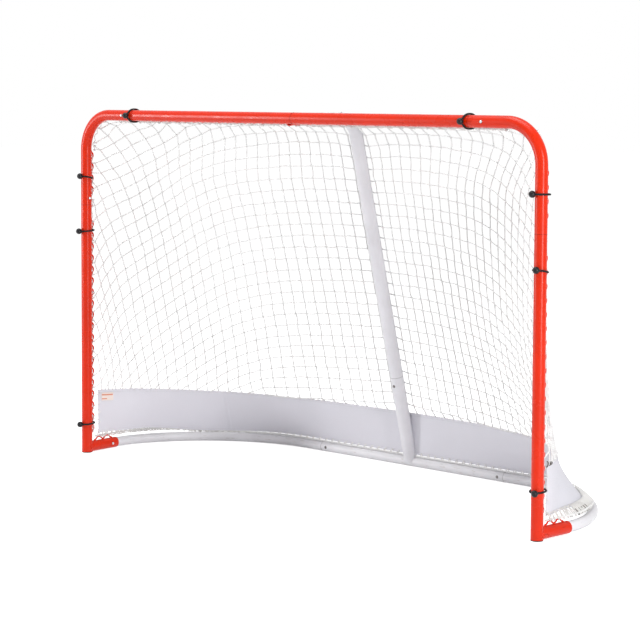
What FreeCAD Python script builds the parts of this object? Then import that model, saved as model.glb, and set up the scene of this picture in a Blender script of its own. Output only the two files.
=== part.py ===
import FreeCAD, Part

import math
import os

# Hockey goal of steel tube: red front pieces, white back pieces, snap buttons at the joints,
# a laced net, a fabric skirt on the base rail and elastic loops with balls. Millimetres.
# X runs along the goal line, Y back into the net and Z up. While the pieces are built, Y is
# measured from the goal line through the post axes, with X = 0 midway between the posts.
# The finished pieces are then moved forward, so that the origin is the middle of the footprint.

Vector = FreeCAD.Vector
ACROSS = Vector(1, 0, 0)
BACK = Vector(0, 1, 0)
UP = Vector(0, 0, 1)
ORIGIN = Vector(0, 0, 0)
SIDES = (("left", -1), ("right", 1))

# Mouth, measured between the insides of the tubes
OPENING_WIDTH = 1830.0
OPENING_HEIGHT = 1110.0

# Front frame tube
FRONT_TUBE_D = 35.0
FRONT_TUBE_WALL = 1.6
CORNER_BEND_RADIUS = 115.0
CROSSBAR_SEAM_TO_BEND = 127.5
POST_SEAM_Z = 830.0

# Base rail: a short straight, a tight bend and a wide bend on each side, and the straight back
BASE_DEPTH = 575.0
BASE_FLARE_DEG = 3.0
BASE_TIGHT_RADIUS = 300.0
BASE_TIGHT_DEG = 23.8
BASE_WALL = 1.5
BASE_SEAM_TO_BEND = 67.0
STUB_LENGTH = 130.0
STUB_PLUG_DEPTH = 85.0

# Centre bar, with a narrower arm that plugs into a tee stub behind the crossbar
BAR_D = 42.5
BAR_WALL = 1.6
BAR_PEAK_Y = 286.0
BAR_PEAK_DROP = 4.0
BAR_BEND_RADIUS = 64.0
BAR_SEAM_Z = 300.0
BAR_FOOT_RISE = 6.0
NECK_LENGTH = 22.0
TEE_LENGTH = 48.0
TEE_START_Y = 3.0
ARM_PLUG_DEPTH = 26.0
TEE_TO_SEAM = 0.5

# Fits
PLUG_CLEAR = 0.1
SLEEVE_CLEAR = 0.05
SOFT_CLEAR = 0.4
WELD_CLEAR = 0.05

# Sleeves inside the joints: how far each runs into the piece that holds it and into the next
SLEEVE_WALL = 1.6
SLEEVE_GRIP = 60.0
CROSSBAR_SLEEVE_REACH = 90.0
POST_SLEEVE_REACH = 70.0
BASE_SLEEVE_REACH = 45.0
BAR_SLEEVE_REACH = 50.0

# Snap buttons, each with a flange inside the tube and a leaf spring under it
BUTTON_D = 8.0
BUTTON_HOLE_CLEAR = 0.2
BUTTON_OUT = 3.0
BUTTON_DOME = 2.0
BUTTON_FLANGE_D = 11.0
BUTTON_FLANGE_THICK = 1.2
BUTTON_FLANGE_CLEAR = 0.15
CROSSBAR_BUTTON_STEP = 48.0
POST_BUTTON_STEP = 22.0
STUB_BUTTON_STEP = 27.0
BASE_BUTTON_STEP = 22.0
BAR_BUTTON_STEP = 27.0
SPRING_LENGTH = 34.0
SPRING_WIDTH = 7.0
SPRING_THICK = 0.8
SPRING_PAD = 5.0
SPRING_CLEAR = 0.1

# End caps under the posts
CAP_FLANGE = 2.0
CAP_PLUG = 16.0

# Wavy lacing rods welded along the tubes
ROD_D = 5.0
ROD_PITCH = 38.0
ROD_HUMP = 9.0
ROD_END_GAP = 30.0
ROD_FOOT_GAP = 26.0
ROD_TEE_GAP = 22.0
CROSSBAR_ROD_DROP_DEG = 35.0
STUB_ROD_START = 34.0
STUB_ROD_WAVES = 2

# Ropes
ROPE_D = 6.0
HEAD_ROPE_END_TO_POST = 142.5

# Net and skirt
NET_THICK = 2.4
NET_CELL = 112.0
NET_STRAND = 6.0
NET_RIM = 8.0
NET_LEAST_CELL = 0.04
NET_POST_TOP_Z = 1000.0
NET_CORNER_TO_POST = 117.5
NET_PEAK_RISE = 11.5
NET_BAR_CLEAR = 3.5
NET_SEAM_CLEAR = 0.2
SKIRT_THICK = 2.4
SKIRT_FRONT_Z = 206.0
SKIRT_BACK_Z = 168.0

# Bare tag sewn inside the skirt, by the left post
TAG_LENGTH = 50.0
TAG_HEIGHT = 19.0
TAG_THICK = 0.6
TAG_FROM_POST = 54.0
TAG_FOOT_Z = 168.0
TAG_CLEAR = 0.2

# Elastic loops with balls
BALL_D = 19.5
LOOP_D = 5.5
LOOP_CLEAR = 0.35
LOOP_FRONT_DEG = 40.0
POST_LOOP_BACK_STEP = 15.0
CROSSBAR_LOOP_BACK_STEP = 4.0
LEFT_HIGH_LOOP_Z = 925.0
LEFT_MIDDLE_LOOP_Z = 742.0
LEFT_LOW_LOOP_Z = 96.0
RIGHT_HIGH_LOOP_Z = 937.0
RIGHT_MIDDLE_LOOP_Z = 735.0
RIGHT_LOW_LOOP_Z = 133.0
CROSSBAR_LOOP_LEAN_DEG = -30.0

# Each post's loops from the top: the height, and the ball's turn round the post in degrees
POST_LOOPS = {
    -1: ((LEFT_HIGH_LOOP_Z, 0.0), (LEFT_MIDDLE_LOOP_Z, -15.0), (LEFT_LOW_LOOP_Z, -8.0)),
    1: ((RIGHT_HIGH_LOOP_Z, -26.0), (RIGHT_MIDDLE_LOOP_Z, 12.0), (RIGHT_LOW_LOOP_Z, 35.0)),
}

# Worked out from the sizes above
FRONT_R = FRONT_TUBE_D / 2
FRONT_BORE_R = FRONT_R - FRONT_TUBE_WALL
POST_X = OPENING_WIDTH / 2 + FRONT_R
CROSSBAR_Z = OPENING_HEIGHT + FRONT_R
CROSSBAR_SEAM_X = POST_X - CORNER_BEND_RADIUS - CROSSBAR_SEAM_TO_BEND
REAR_R = FRONT_BORE_R - PLUG_CLEAR
REAR_BORE_R = REAR_R - BASE_WALL
BAR_R = BAR_D / 2
BAR_BORE_R = BAR_R - BAR_WALL
ROD_R = ROD_D / 2
ROPE_R = ROPE_D / 2
BALL_R = BALL_D / 2
LOOP_R = LOOP_D / 2
BUTTON_R = BUTTON_D / 2
CENTRE_SEAM_X = FRONT_R + TEE_TO_SEAM
FRONT_SLEEVE_R = FRONT_BORE_R - SLEEVE_CLEAR
REAR_SLEEVE_R = REAR_BORE_R - SLEEVE_CLEAR
BAR_SLEEVE_R = BAR_BORE_R - SLEEVE_CLEAR

# The stubs leave the posts this high, so that the level-bottomed rail rests on the floor too
STUB_Z = FRONT_R + (FRONT_R - REAR_R) * STUB_LENGTH / (BASE_DEPTH - STUB_LENGTH)
RAIL_TILT_DEG = math.degrees(math.atan((STUB_Z - REAR_R) / BASE_DEPTH))

# Plan of the rail's right side: heading and inward direction at the post, and the wide bend
FLARE = Vector(math.sin(math.radians(BASE_FLARE_DEG)), math.cos(math.radians(BASE_FLARE_DEG)), 0)
FLARE_IN = Vector(-FLARE.y, FLARE.x, 0)
STUB_FOOT = Vector(POST_X, 0, STUB_Z)
TURNED_IN = FreeCAD.Rotation(UP, BASE_TIGHT_DEG).multVec(FLARE_IN)
WIDE_START = STUB_FOOT + FLARE * STUB_LENGTH + (FLARE_IN - TURNED_IN) * BASE_TIGHT_RADIUS
BASE_WIDE_RADIUS = (BASE_DEPTH - WIDE_START.y) / (1 + TURNED_IN.y)
BASE_WIDE_DEG = 90 + BASE_FLARE_DEG - BASE_TIGHT_DEG
BASE_SEAM_X = WIDE_START.x + TURNED_IN.x * BASE_WIDE_RADIUS - BASE_SEAM_TO_BEND

# Centre bar line, from its foot on the rail to the corner of its bend
BAR_FOOT = Vector(0, BASE_DEPTH, REAR_R)
BAR_PEAK = Vector(0, BAR_PEAK_Y, CROSSBAR_Z - BAR_PEAK_DROP)
BAR_UP = (BAR_PEAK - BAR_FOOT).normalize()
BAR_FACE = BAR_UP.cross(ACROSS) * -1
BAR_LEAN_DEG = math.degrees(math.atan2(-BAR_UP.y, BAR_UP.z))

# Where the soft pieces lie
ROD_AXIS_R = FRONT_R + WELD_CLEAR + ROD_R
NET_POST_Y = ROD_AXIS_R + ROD_HUMP + ROD_R + NET_THICK / 2 + SOFT_CLEAR
HEAD_ROPE_REACH = ROD_AXIS_R + ROD_HUMP + ROD_R + SOFT_CLEAR + ROPE_R
HEAD_ROPE_Y = HEAD_ROPE_REACH * math.cos(math.radians(CROSSBAR_ROD_DROP_DEG))
HEAD_ROPE_Z = CROSSBAR_Z - HEAD_ROPE_REACH * math.sin(math.radians(CROSSBAR_ROD_DROP_DEG))
RAIL_ROPE_LIFT = REAR_R + SOFT_CLEAR + ROPE_R
SKIRT_LIFT = RAIL_ROPE_LIFT + ROPE_R + SOFT_CLEAR
STUB_ROD_LIFT = FRONT_R + WELD_CLEAR + ROD_R
SKIRT_LIFT_OVER_STUB = STUB_ROD_LIFT + ROD_HUMP + ROD_R + SOFT_CLEAR


def turned(vector, axis, degrees):
    """A vector turned about an axis by the right-hand rule."""
    return FreeCAD.Rotation(axis, degrees).multVec(vector)


class Route:
    """Straight runs and tangent arcs laid end to end, for a tube, rod or strip to follow."""

    def __init__(self, start, heading):
        self.start = start
        self.first = heading
        self.point = start
        self.heading = heading
        self.edges = []

    def run(self, length):
        end = self.point + self.heading * length
        self.edges.append(Part.LineSegment(self.point, end).toShape())
        self.point = end
        return self

    def bend(self, radius, degrees, normal):
        """Turn about the normal: a positive angle turns by the right-hand rule."""
        inward = normal.cross(self.heading) * math.copysign(1, degrees)
        centre = self.point + inward * radius
        arm = self.point - centre
        middle = centre + turned(arm, normal, degrees / 2)
        end = centre + turned(arm, normal, degrees)
        self.edges.append(Part.Arc(self.point, middle, end).toShape())
        self.point = end
        self.heading = turned(self.heading, normal, degrees)
        return self

    def rod(self, radius):
        circle = Part.Wire(Part.makeCircle(radius, self.start, self.first))
        return Part.Wire(self.edges).makePipeShell([circle], True, False)

    def tube(self, outer_r, bore_r):
        return self.rod(outer_r).cut(self.rod(bore_r))


def straight(radius, start, end):
    """A round bar between two points."""
    return Part.makeCylinder(radius, (end - start).Length, start, end - start)


def straight_tube(outer_r, bore_r, start, end):
    return straight(outer_r, start, end).cut(straight(bore_r, start, end))


def mirrored(shape):
    """The same piece on the other side of the goal."""
    return shape.mirror(ORIGIN, ACROSS)


def on_side(shape, side):
    return shape if side > 0 else mirrored(shape)


def laid_down(shape):
    """Tip a base piece, drawn level, so that the back of the rail rests on the floor."""
    tipped = shape.copy()
    tipped.rotate(Vector(0, 0, STUB_Z), ACROSS, -RAIL_TILT_DEG)
    return tipped


def rail_route(along, inset, lift, end_x):
    """Follow the rail's plan on the right side, from a distance along it past the post.

    The start may lie on the first straight or on the tight bend after it. The line lies at
    a height above the rail's axis, moved towards the inside of the goal by the inset, and
    ends on the straight back at the given X.
    """
    on_straight = min(along, STUB_LENGTH)
    skipped_deg = math.degrees((along - on_straight) / BASE_TIGHT_RADIUS)
    inward = turned(FLARE_IN, UP, skipped_deg)
    start = STUB_FOOT + FLARE * on_straight + (FLARE_IN - inward) * BASE_TIGHT_RADIUS
    route = Route(start + inward * inset + UP * lift, turned(FLARE, UP, skipped_deg))
    if on_straight < STUB_LENGTH:
        route.run(STUB_LENGTH - on_straight)
    route.bend(BASE_TIGHT_RADIUS - inset, BASE_TIGHT_DEG - skipped_deg, UP)
    route.bend(BASE_WIDE_RADIUS - inset, BASE_WIDE_DEG, UP)
    return route.run(route.point.x - end_x)


def bar_at(height):
    """Point of the centre bar's line at a height above the floor."""
    return BAR_FOOT + BAR_UP * ((height - BAR_FOOT.z) / BAR_UP.z)


class SnapJoint:
    """A snap button, its leaf spring and the hole that both tube walls need for it.

    The button stands out of the outer tube at a point of the tube's axis. The spring lies
    in the inner tube's bore, folded at the end that the along direction points to.
    """

    def __init__(self, centre, outward, along, outer_r, bore_r):
        turn = FreeCAD.Rotation(along, outward.cross(along), outward, "ZXY")
        self.place = FreeCAD.Placement(centre, turn)
        self.outer_r = outer_r
        self.bore_r = bore_r
        flange_r = BUTTON_FLANGE_D / 2
        self.flange_top = math.sqrt(bore_r**2 - flange_r**2) - BUTTON_FLANGE_CLEAR
        self.flange_foot = self.flange_top - BUTTON_FLANGE_THICK

    def placed(self, shape):
        shape.Placement = self.place.multiply(shape.Placement)
        return shape

    def hole(self):
        depth = self.outer_r + BUTTON_OUT
        return self.placed(Part.makeCylinder(BUTTON_R + BUTTON_HOLE_CLEAR, depth))

    def button(self):
        flange_r = BUTTON_FLANGE_D / 2
        top = self.outer_r + BUTTON_OUT
        shoulder = top - BUTTON_DOME
        dome_r = (BUTTON_R**2 + BUTTON_DOME**2) / (2 * BUTTON_DOME)
        lean = math.asin(BUTTON_R / dome_r) / 2
        middle = Vector(dome_r * math.sin(lean), 0, top - dome_r + dome_r * math.cos(lean))
        corners = [
            Vector(0, 0, top),
            Vector(0, 0, self.flange_foot),
            Vector(flange_r, 0, self.flange_foot),
            Vector(flange_r, 0, self.flange_top),
            Vector(BUTTON_R, 0, self.flange_top),
            Vector(BUTTON_R, 0, shoulder),
        ]
        edges = [Part.LineSegment(a, b).toShape() for a, b in zip(corners, corners[1:])]
        edges.append(Part.Arc(corners[-1], middle, corners[0]).toShape())
        profile = Part.Face(Part.Wire(edges))
        return self.placed(profile.revolve(ORIGIN, UP, 360))

    def spring(self):
        half = SPRING_WIDTH / 2
        top = self.flange_foot - SPRING_CLEAR
        foot = -math.sqrt(self.bore_r**2 - half**2) + SPRING_CLEAR
        tip = SPRING_LENGTH - SPRING_PAD
        outline = [
            (-SPRING_PAD, top),
            (SPRING_PAD, top),
            (tip, SPRING_THICK),
            (tip, -SPRING_THICK),
            (SPRING_PAD, foot),
            (-SPRING_PAD, foot),
            (-SPRING_PAD, foot + SPRING_THICK),
            (SPRING_PAD - SPRING_THICK, foot + SPRING_THICK),
            (tip - 3 * SPRING_THICK, 0),
            (SPRING_PAD - SPRING_THICK, top - SPRING_THICK),
            (-SPRING_PAD, top - SPRING_THICK),
        ]
        points = [Vector(x, -half, z) for x, z in outline]
        leaf = Part.Face(Part.makePolygon(points + points[:1]))
        return self.placed(leaf.extrude(Vector(0, SPRING_WIDTH, 0)))


def snap_joints():
    """Every snap joint by name, placed for the real goal."""
    joints = {}
    for name, side in SIDES:
        out = ACROSS * side
        crossbar_x = side * (CROSSBAR_SEAM_X + CROSSBAR_BUTTON_STEP)
        joints[f"crossbar_{name}"] = SnapJoint(
            Vector(crossbar_x, 0, CROSSBAR_Z), BACK * -1, out * -1, FRONT_R, FRONT_SLEEVE_R - SLEEVE_WALL
        )
        joints[f"post_{name}"] = SnapJoint(
            Vector(side * POST_X, 0, POST_SEAM_Z + POST_BUTTON_STEP),
            out * -1, UP * -1, FRONT_R, FRONT_SLEEVE_R - SLEEVE_WALL,
        )
        along = Vector(side * FLARE.x, FLARE.y, 0)
        inward = Vector(side * FLARE_IN.x, FLARE_IN.y, 0)
        foot = Vector(side * POST_X, 0, STUB_Z) + along * (STUB_LENGTH - STUB_BUTTON_STEP)
        joints[f"stub_{name}"] = SnapJoint(foot, inward, along, FRONT_R, REAR_BORE_R)
        joints[f"base_{name}"] = SnapJoint(
            Vector(side * (BASE_SEAM_X - BASE_BUTTON_STEP), BASE_DEPTH, STUB_Z),
            BACK * -1, out, REAR_R, REAR_SLEEVE_R - SLEEVE_WALL,
        )
    joints["centre_bar"] = SnapJoint(
        bar_at(BAR_SEAM_Z) - BAR_UP * BAR_BUTTON_STEP, BAR_FACE, BAR_UP, BAR_R, BAR_SLEEVE_R - SLEEVE_WALL
    )
    return joints


def is_base(name):
    return name.startswith(("stub_", "base_"))


def front_frame(joints):
    """Corner tubes, crossbar halves, tee stub, lower posts, base stubs and their sleeves."""
    pieces = {}
    arm = CROSSBAR_Z - CORNER_BEND_RADIUS
    sleeve_bore_r = FRONT_SLEEVE_R - SLEEVE_WALL
    for name, side in SIDES:
        corner = Route(Vector(CROSSBAR_SEAM_X, 0, CROSSBAR_Z), ACROSS)
        corner.run(POST_X - CORNER_BEND_RADIUS - CROSSBAR_SEAM_X)
        corner.bend(CORNER_BEND_RADIUS, 90, BACK)
        corner.run(arm - POST_SEAM_Z)
        tube = on_side(corner.tube(FRONT_R, FRONT_BORE_R), side)
        crossbar_hole = joints[f"crossbar_{name}"].hole()
        post_hole = joints[f"post_{name}"].hole()
        pieces[f"corner_tube_{name}"] = tube.cut(crossbar_hole).cut(post_hole)

        sleeve = straight_tube(
            FRONT_SLEEVE_R, sleeve_bore_r,
            Vector(side * (CROSSBAR_SEAM_X - SLEEVE_GRIP), 0, CROSSBAR_Z),
            Vector(side * (CROSSBAR_SEAM_X + CROSSBAR_SLEEVE_REACH), 0, CROSSBAR_Z),
        )
        pieces[f"crossbar_sleeve_{name}"] = sleeve.cut(crossbar_hole)

        post = Vector(side * POST_X, 0, 0)
        pieces[f"lower_post_{name}"] = straight_tube(
            FRONT_R, FRONT_BORE_R, post + UP * CAP_FLANGE, post + UP * POST_SEAM_Z
        )
        sleeve = straight_tube(
            FRONT_SLEEVE_R, sleeve_bore_r,
            post + UP * (POST_SEAM_Z - SLEEVE_GRIP), post + UP * (POST_SEAM_Z + POST_SLEEVE_REACH),
        )
        pieces[f"post_sleeve_{name}"] = sleeve.cut(post_hole)

        stub_hole = joints[f"stub_{name}"].hole()
        stub_end = STUB_FOOT + FLARE * STUB_LENGTH
        stub = on_side(straight_tube(FRONT_R, FRONT_BORE_R, STUB_FOOT, stub_end), side).cut(stub_hole)
        post_core = straight(FRONT_R, post, post + UP * POST_SEAM_Z)
        pieces[f"base_stub_{name}"] = laid_down(stub).cut(post_core)

    ends = {"left": -CROSSBAR_SEAM_X, "right": CROSSBAR_SEAM_X}
    for name, end_x in ends.items():
        low, high = sorted((end_x, CENTRE_SEAM_X))
        pieces[f"crossbar_tube_{name}"] = straight_tube(
            FRONT_R, FRONT_BORE_R, Vector(low, 0, CROSSBAR_Z), Vector(high, 0, CROSSBAR_Z)
        )
    pieces["crossbar_sleeve_centre"] = straight_tube(
        FRONT_SLEEVE_R, sleeve_bore_r,
        Vector(CENTRE_SEAM_X - SLEEVE_GRIP, 0, CROSSBAR_Z), Vector(CENTRE_SEAM_X + SLEEVE_GRIP, 0, CROSSBAR_Z),
    )
    tee = straight_tube(
        FRONT_R, FRONT_BORE_R, Vector(0, TEE_START_Y, BAR_PEAK.z), Vector(0, TEE_LENGTH, BAR_PEAK.z)
    )
    crossbar_core = straight(FRONT_R, Vector(-POST_X, 0, CROSSBAR_Z), Vector(POST_X, 0, CROSSBAR_Z))
    pieces["tee_stub"] = max(tee.cut(crossbar_core).Solids, key=lambda solid: solid.Volume)
    return pieces


def post_caps():
    """Plastic plugs in the feet of the posts: their flanges stand on the floor."""
    caps = []
    for _, side in SIDES:
        foot = Vector(side * POST_X, 0, 0)
        flange = straight(FRONT_R, foot, foot + UP * CAP_FLANGE)
        plug = straight(FRONT_BORE_R - SLEEVE_CLEAR, foot, foot + UP * (CAP_FLANGE + CAP_PLUG))
        caps.append(flange.fuse(plug).removeSplitter())
    return Part.makeCompound(caps)


def base_frame(joints):
    """White base rail: two bent side tubes, the straight back tube and their sleeves."""
    pieces = {}
    sleeve_bore_r = REAR_SLEEVE_R - SLEEVE_WALL
    back = Vector(0, BASE_DEPTH, STUB_Z)
    centre = straight_tube(REAR_R, REAR_BORE_R, back - ACROSS * BASE_SEAM_X, back + ACROSS * BASE_SEAM_X)
    for name, side in SIDES:
        route = rail_route(STUB_LENGTH - STUB_PLUG_DEPTH, 0, 0, BASE_SEAM_X)
        tube = on_side(route.tube(REAR_R, REAR_BORE_R), side)
        pieces[f"base_side_tube_{name}"] = laid_down(tube.cut(joints[f"stub_{name}"].hole()))
        hole = joints[f"base_{name}"].hole()
        sleeve = straight_tube(
            REAR_SLEEVE_R, sleeve_bore_r,
            back + ACROSS * side * (BASE_SEAM_X - BASE_SLEEVE_REACH),
            back + ACROSS * side * (BASE_SEAM_X + SLEEVE_GRIP),
        )
        pieces[f"base_sleeve_{name}"] = laid_down(sleeve.cut(hole))
        centre = centre.cut(hole)
    pieces["base_centre_tube"] = laid_down(centre)
    return pieces


def centre_bar(joints):
    """White centre bar in two lengths, the upper one bent forward into its narrow arm."""
    hole = joints["centre_bar"].hole()
    seam = bar_at(BAR_SEAM_Z)
    rail_core = straight(REAR_R, BAR_FOOT - ACROSS * BAR_D, BAR_FOOT + ACROSS * BAR_D)
    lower = straight_tube(BAR_R, BAR_BORE_R, bar_at(BAR_FOOT.z + BAR_FOOT_RISE), seam)
    lower = lower.cut(rail_core).cut(hole)

    bend_deg = 90 - BAR_LEAN_DEG
    tangent = BAR_BEND_RADIUS * math.tan(math.radians(bend_deg / 2))
    route = Route(seam, BAR_UP)
    route.run((BAR_PEAK - seam).Length - tangent)
    route.bend(BAR_BEND_RADIUS, bend_deg, ACROSS)
    bent = route.tube(BAR_R, BAR_BORE_R)
    arm_end = Vector(0, TEE_LENGTH - ARM_PLUG_DEPTH, BAR_PEAK.z)
    neck_end = route.point + route.heading * NECK_LENGTH
    neck = Part.makeCone(BAR_R, REAR_R, NECK_LENGTH, route.point, route.heading)
    neck = neck.cut(Part.makeCone(BAR_BORE_R, REAR_BORE_R, NECK_LENGTH, route.point, route.heading))
    arm = straight_tube(REAR_R, REAR_BORE_R, neck_end, arm_end)
    sleeve = straight_tube(
        BAR_SLEEVE_R, BAR_SLEEVE_R - SLEEVE_WALL, seam - BAR_UP * BAR_SLEEVE_REACH, seam + BAR_UP * SLEEVE_GRIP
    )
    return {
        "centre_bar_upper": bent.fuse([neck, arm]).removeSplitter(),
        "centre_bar_lower": lower,
        "centre_bar_sleeve": sleeve.cut(hole),
    }


def bar_envelope():
    """The centre bar, its arm and the tee stub as solid rods, a soft piece's clearance fatter."""
    bend_deg = 90 - BAR_LEAN_DEG
    tangent = BAR_BEND_RADIUS * math.tan(math.radians(bend_deg / 2))
    route = Route(BAR_FOOT, BAR_UP)
    route.run((BAR_PEAK - BAR_FOOT).Length - tangent)
    route.bend(BAR_BEND_RADIUS, bend_deg, ACROSS)
    tip = route.point + route.heading * NECK_LENGTH
    arm = straight(FRONT_R + SOFT_CLEAR, tip, Vector(0, TEE_START_Y, BAR_PEAK.z))
    neck = Part.makeCylinder(BAR_R + SOFT_CLEAR, NECK_LENGTH, route.point, route.heading)
    return [route.rod(BAR_R + SOFT_CLEAR), neck, arm]


def lacing_rod(start, along, outward, waves):
    """Wavy rod: low at both ends, with one hump in each wave, rising away from its tube."""
    sway_deg = math.degrees(2 * math.atan(ROD_HUMP / (ROD_PITCH / 2)))
    radius = ((ROD_PITCH / 2) ** 2 + ROD_HUMP**2) / (4 * ROD_HUMP)
    normal = outward.cross(along)
    route = Route(start, along)
    for _ in range(waves):
        route.bend(radius, -sway_deg, normal)
        route.bend(radius, 2 * sway_deg, normal)
        route.bend(radius, -sway_deg, normal)
    return route.rod(ROD_R)


def whole_waves(length):
    return int(length // ROD_PITCH)


def lacing_rods():
    """Rods behind the posts and the crossbar and on top of the base stubs."""
    pieces = {}
    drop = math.radians(CROSSBAR_ROD_DROP_DEG)
    crossbar_out = Vector(0, math.cos(drop), -math.sin(drop))
    for name, side in SIDES:
        post = Vector(side * POST_X, ROD_AXIS_R, 0)
        low = STUB_Z + FRONT_R + ROD_FOOT_GAP
        waves = whole_waves(POST_SEAM_Z - ROD_END_GAP - low)
        pieces[f"lacing_rod_post_{name}"] = lacing_rod(post + UP * low, UP, BACK, waves)
        low = POST_SEAM_Z + ROD_END_GAP
        waves = whole_waves(CROSSBAR_Z - CORNER_BEND_RADIUS - low)
        pieces[f"lacing_rod_corner_{name}"] = lacing_rod(post + UP * low, UP, BACK, waves)

        inner = FRONT_R + ROD_TEE_GAP
        start = Vector(side * inner, 0, CROSSBAR_Z) + crossbar_out * ROD_AXIS_R
        waves = whole_waves(CROSSBAR_SEAM_X - ROD_END_GAP - inner)
        pieces[f"lacing_rod_crossbar_{name}"] = lacing_rod(start, ACROSS * side, crossbar_out, waves)

        start = STUB_FOOT + FLARE * STUB_ROD_START + UP * STUB_ROD_LIFT
        rod = on_side(lacing_rod(start, FLARE, UP, STUB_ROD_WAVES), side)
        pieces[f"lacing_rod_stub_{name}"] = laid_down(rod)
    return pieces


def ropes():
    """Head rope behind the crossbar and lacing rope along the top of the rail."""
    head = []
    tee_edge = FRONT_R + SOFT_CLEAR
    for _, side in SIDES:
        inner = Vector(side * tee_edge, HEAD_ROPE_Y, HEAD_ROPE_Z)
        outer = Vector(side * (POST_X - HEAD_ROPE_END_TO_POST), HEAD_ROPE_Y, HEAD_ROPE_Z)
        head.append(straight(ROPE_R, inner, outer))
    half = rail_route(STUB_LENGTH + SOFT_CLEAR, 0, RAIL_ROPE_LIFT, BAR_R + SOFT_CLEAR).rod(ROPE_R)
    rail = [laid_down(on_side(half, side)) for _, side in SIDES]
    return {"head_rope": Part.makeCompound(head), "rail_rope": Part.makeCompound(rail)}


def skirt_top_z(level_y):
    """Height of the skirt's upper edge, which falls from the posts to the back."""
    share = (level_y - NET_POST_Y) / (BASE_DEPTH - NET_POST_Y)
    return SKIRT_FRONT_Z + (SKIRT_BACK_Z - SKIRT_FRONT_Z) * share


def skirt(loop_rooms):
    """Fabric strip standing along the rail, with its upper edge on a slanted plane."""
    half = SKIRT_THICK / 2
    outer = rail_route(NET_POST_Y, -half, SKIRT_LIFT, 0)
    inner = rail_route(NET_POST_Y, half, SKIRT_LIFT, 0)
    ends = [
        Part.LineSegment(outer.point, inner.point).toShape(),
        Part.LineSegment(inner.start, outer.start).toShape(),
    ]
    outline = Part.Wire(Part.__sortEdges__(outer.edges + inner.edges + ends))
    strip = Part.Face(outline).extrude(UP * SKIRT_FRONT_Z)
    reach = 2 * POST_X
    corners = [
        Vector(-reach, 0, skirt_top_z(0)),
        Vector(-reach, 2 * BASE_DEPTH, skirt_top_z(2 * BASE_DEPTH)),
        Vector(-reach, 2 * BASE_DEPTH, 3 * SKIRT_FRONT_Z),
        Vector(-reach, 0, 3 * SKIRT_FRONT_Z),
    ]
    above = Part.Face(Part.makePolygon(corners + corners[:1])).extrude(ACROSS * 2 * reach)
    stub_room = Part.makeBox(
        4 * FRONT_R, STUB_LENGTH + 2 * SOFT_CLEAR, STUB_Z + SKIRT_LIFT_OVER_STUB,
        Vector(POST_X - 2 * FRONT_R, 0, 0),
    )
    whole = strip.fuse(mirrored(strip)).removeSplitter()
    cutters = [above, stub_room, mirrored(stub_room)] + bar_envelope() + loop_rooms
    return laid_down(whole).cut(cutters)


def sewn_tag():
    """Bare tag lying on the inside of the skirt beside the left post."""
    inset = SKIRT_THICK / 2 + TAG_CLEAR
    corner = STUB_FOOT + FLARE * TAG_FROM_POST + FLARE_IN * inset
    corner.z = TAG_FOOT_Z
    points = [
        corner, corner + FLARE * TAG_LENGTH,
        corner + FLARE * TAG_LENGTH + FLARE_IN * TAG_THICK, corner + FLARE_IN * TAG_THICK,
    ]
    tag = Part.Face(Part.makePolygon(points + points[:1])).extrude(UP * TAG_HEIGHT)
    return mirrored(tag)


def rail_corner(inset_turn):
    """Point above the rail's plan line where the net meets the skirt's upper edge."""
    point = WIDE_START + (TURNED_IN - turned(TURNED_IN, UP, inset_turn)) * BASE_WIDE_RADIUS
    point.z = skirt_top_z(point.y) + NET_THICK / 2 + SOFT_CLEAR
    return point


def net_points():
    """Corners of the net's flat panels, by name."""
    peak_z = BAR_PEAK.z + NET_PEAK_RISE
    peak_y = bar_at(peak_z).y + BAR_R / BAR_UP.z + NET_BAR_CLEAR
    points = {
        "peak": Vector(0, peak_y, peak_z),
        "foot": Vector(0, BASE_DEPTH, rail_corner(BASE_WIDE_DEG).z),
    }
    corner_y = HEAD_ROPE_Y + ROPE_R + SOFT_CLEAR
    for name, side in SIDES:
        for key, point in (
            ("corner", Vector(POST_X - NET_CORNER_TO_POST, corner_y, HEAD_ROPE_Z)),
            ("post_top", Vector(POST_X, NET_POST_Y, NET_POST_TOP_Z)),
            ("post_foot", Vector(POST_X, NET_POST_Y, skirt_top_z(NET_POST_Y) + NET_THICK / 2 + SOFT_CLEAR)),
            ("rail_side", rail_corner(0)),
            ("rail_bend", rail_corner(BASE_WIDE_DEG / 2)),
            ("rail_back", rail_corner(BASE_WIDE_DEG)),
        ):
            points[f"{key}_{name}"] = Vector(side * point.x, point.y, point.z)
    return points


def net_triangles():
    """Which corners each flat panel has, grouped by the piece that it belongs to."""
    groups = {"net_top": [("peak", "corner_left", "corner_right")]}
    for name, _ in SIDES:
        top = f"post_top_{name}"
        rail = ["foot", f"rail_back_{name}", f"rail_bend_{name}", f"rail_side_{name}", f"post_foot_{name}"]
        fan = [(top, a, b) for a, b in zip(rail, rail[1:])]
        groups[f"net_{name}"] = [("peak", top, "foot"), ("peak", top, f"corner_{name}")] + fan
    return groups


def outward_normal(corners):
    normal = (corners[1] - corners[0]).cross(corners[2] - corners[0]).normalize()
    inside = Vector(0, BASE_DEPTH / 4, OPENING_HEIGHT / 2)
    return normal if normal.dot(corners[0] - inside) > 0 else normal * -1


def moved_in(corners, insets):
    """A counterclockwise outline with each side moved inward by its own inset."""
    lines = []
    for (a, b), inset in zip(zip(corners, corners[1:] + corners[:1]), insets):
        dx, dy = b[0] - a[0], b[1] - a[1]
        length = math.hypot(dx, dy)
        nx, ny = -dy / length, dx / length
        lines.append((nx, ny, nx * a[0] + ny * a[1] + inset))
    moved = []
    for (a, b, c), (d, e, f) in zip(lines[-1:] + lines[:-1], lines):
        scale = a * e - b * d
        moved.append(((c * e - b * f) / scale, (a * f - c * d) / scale))
    return moved


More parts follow.
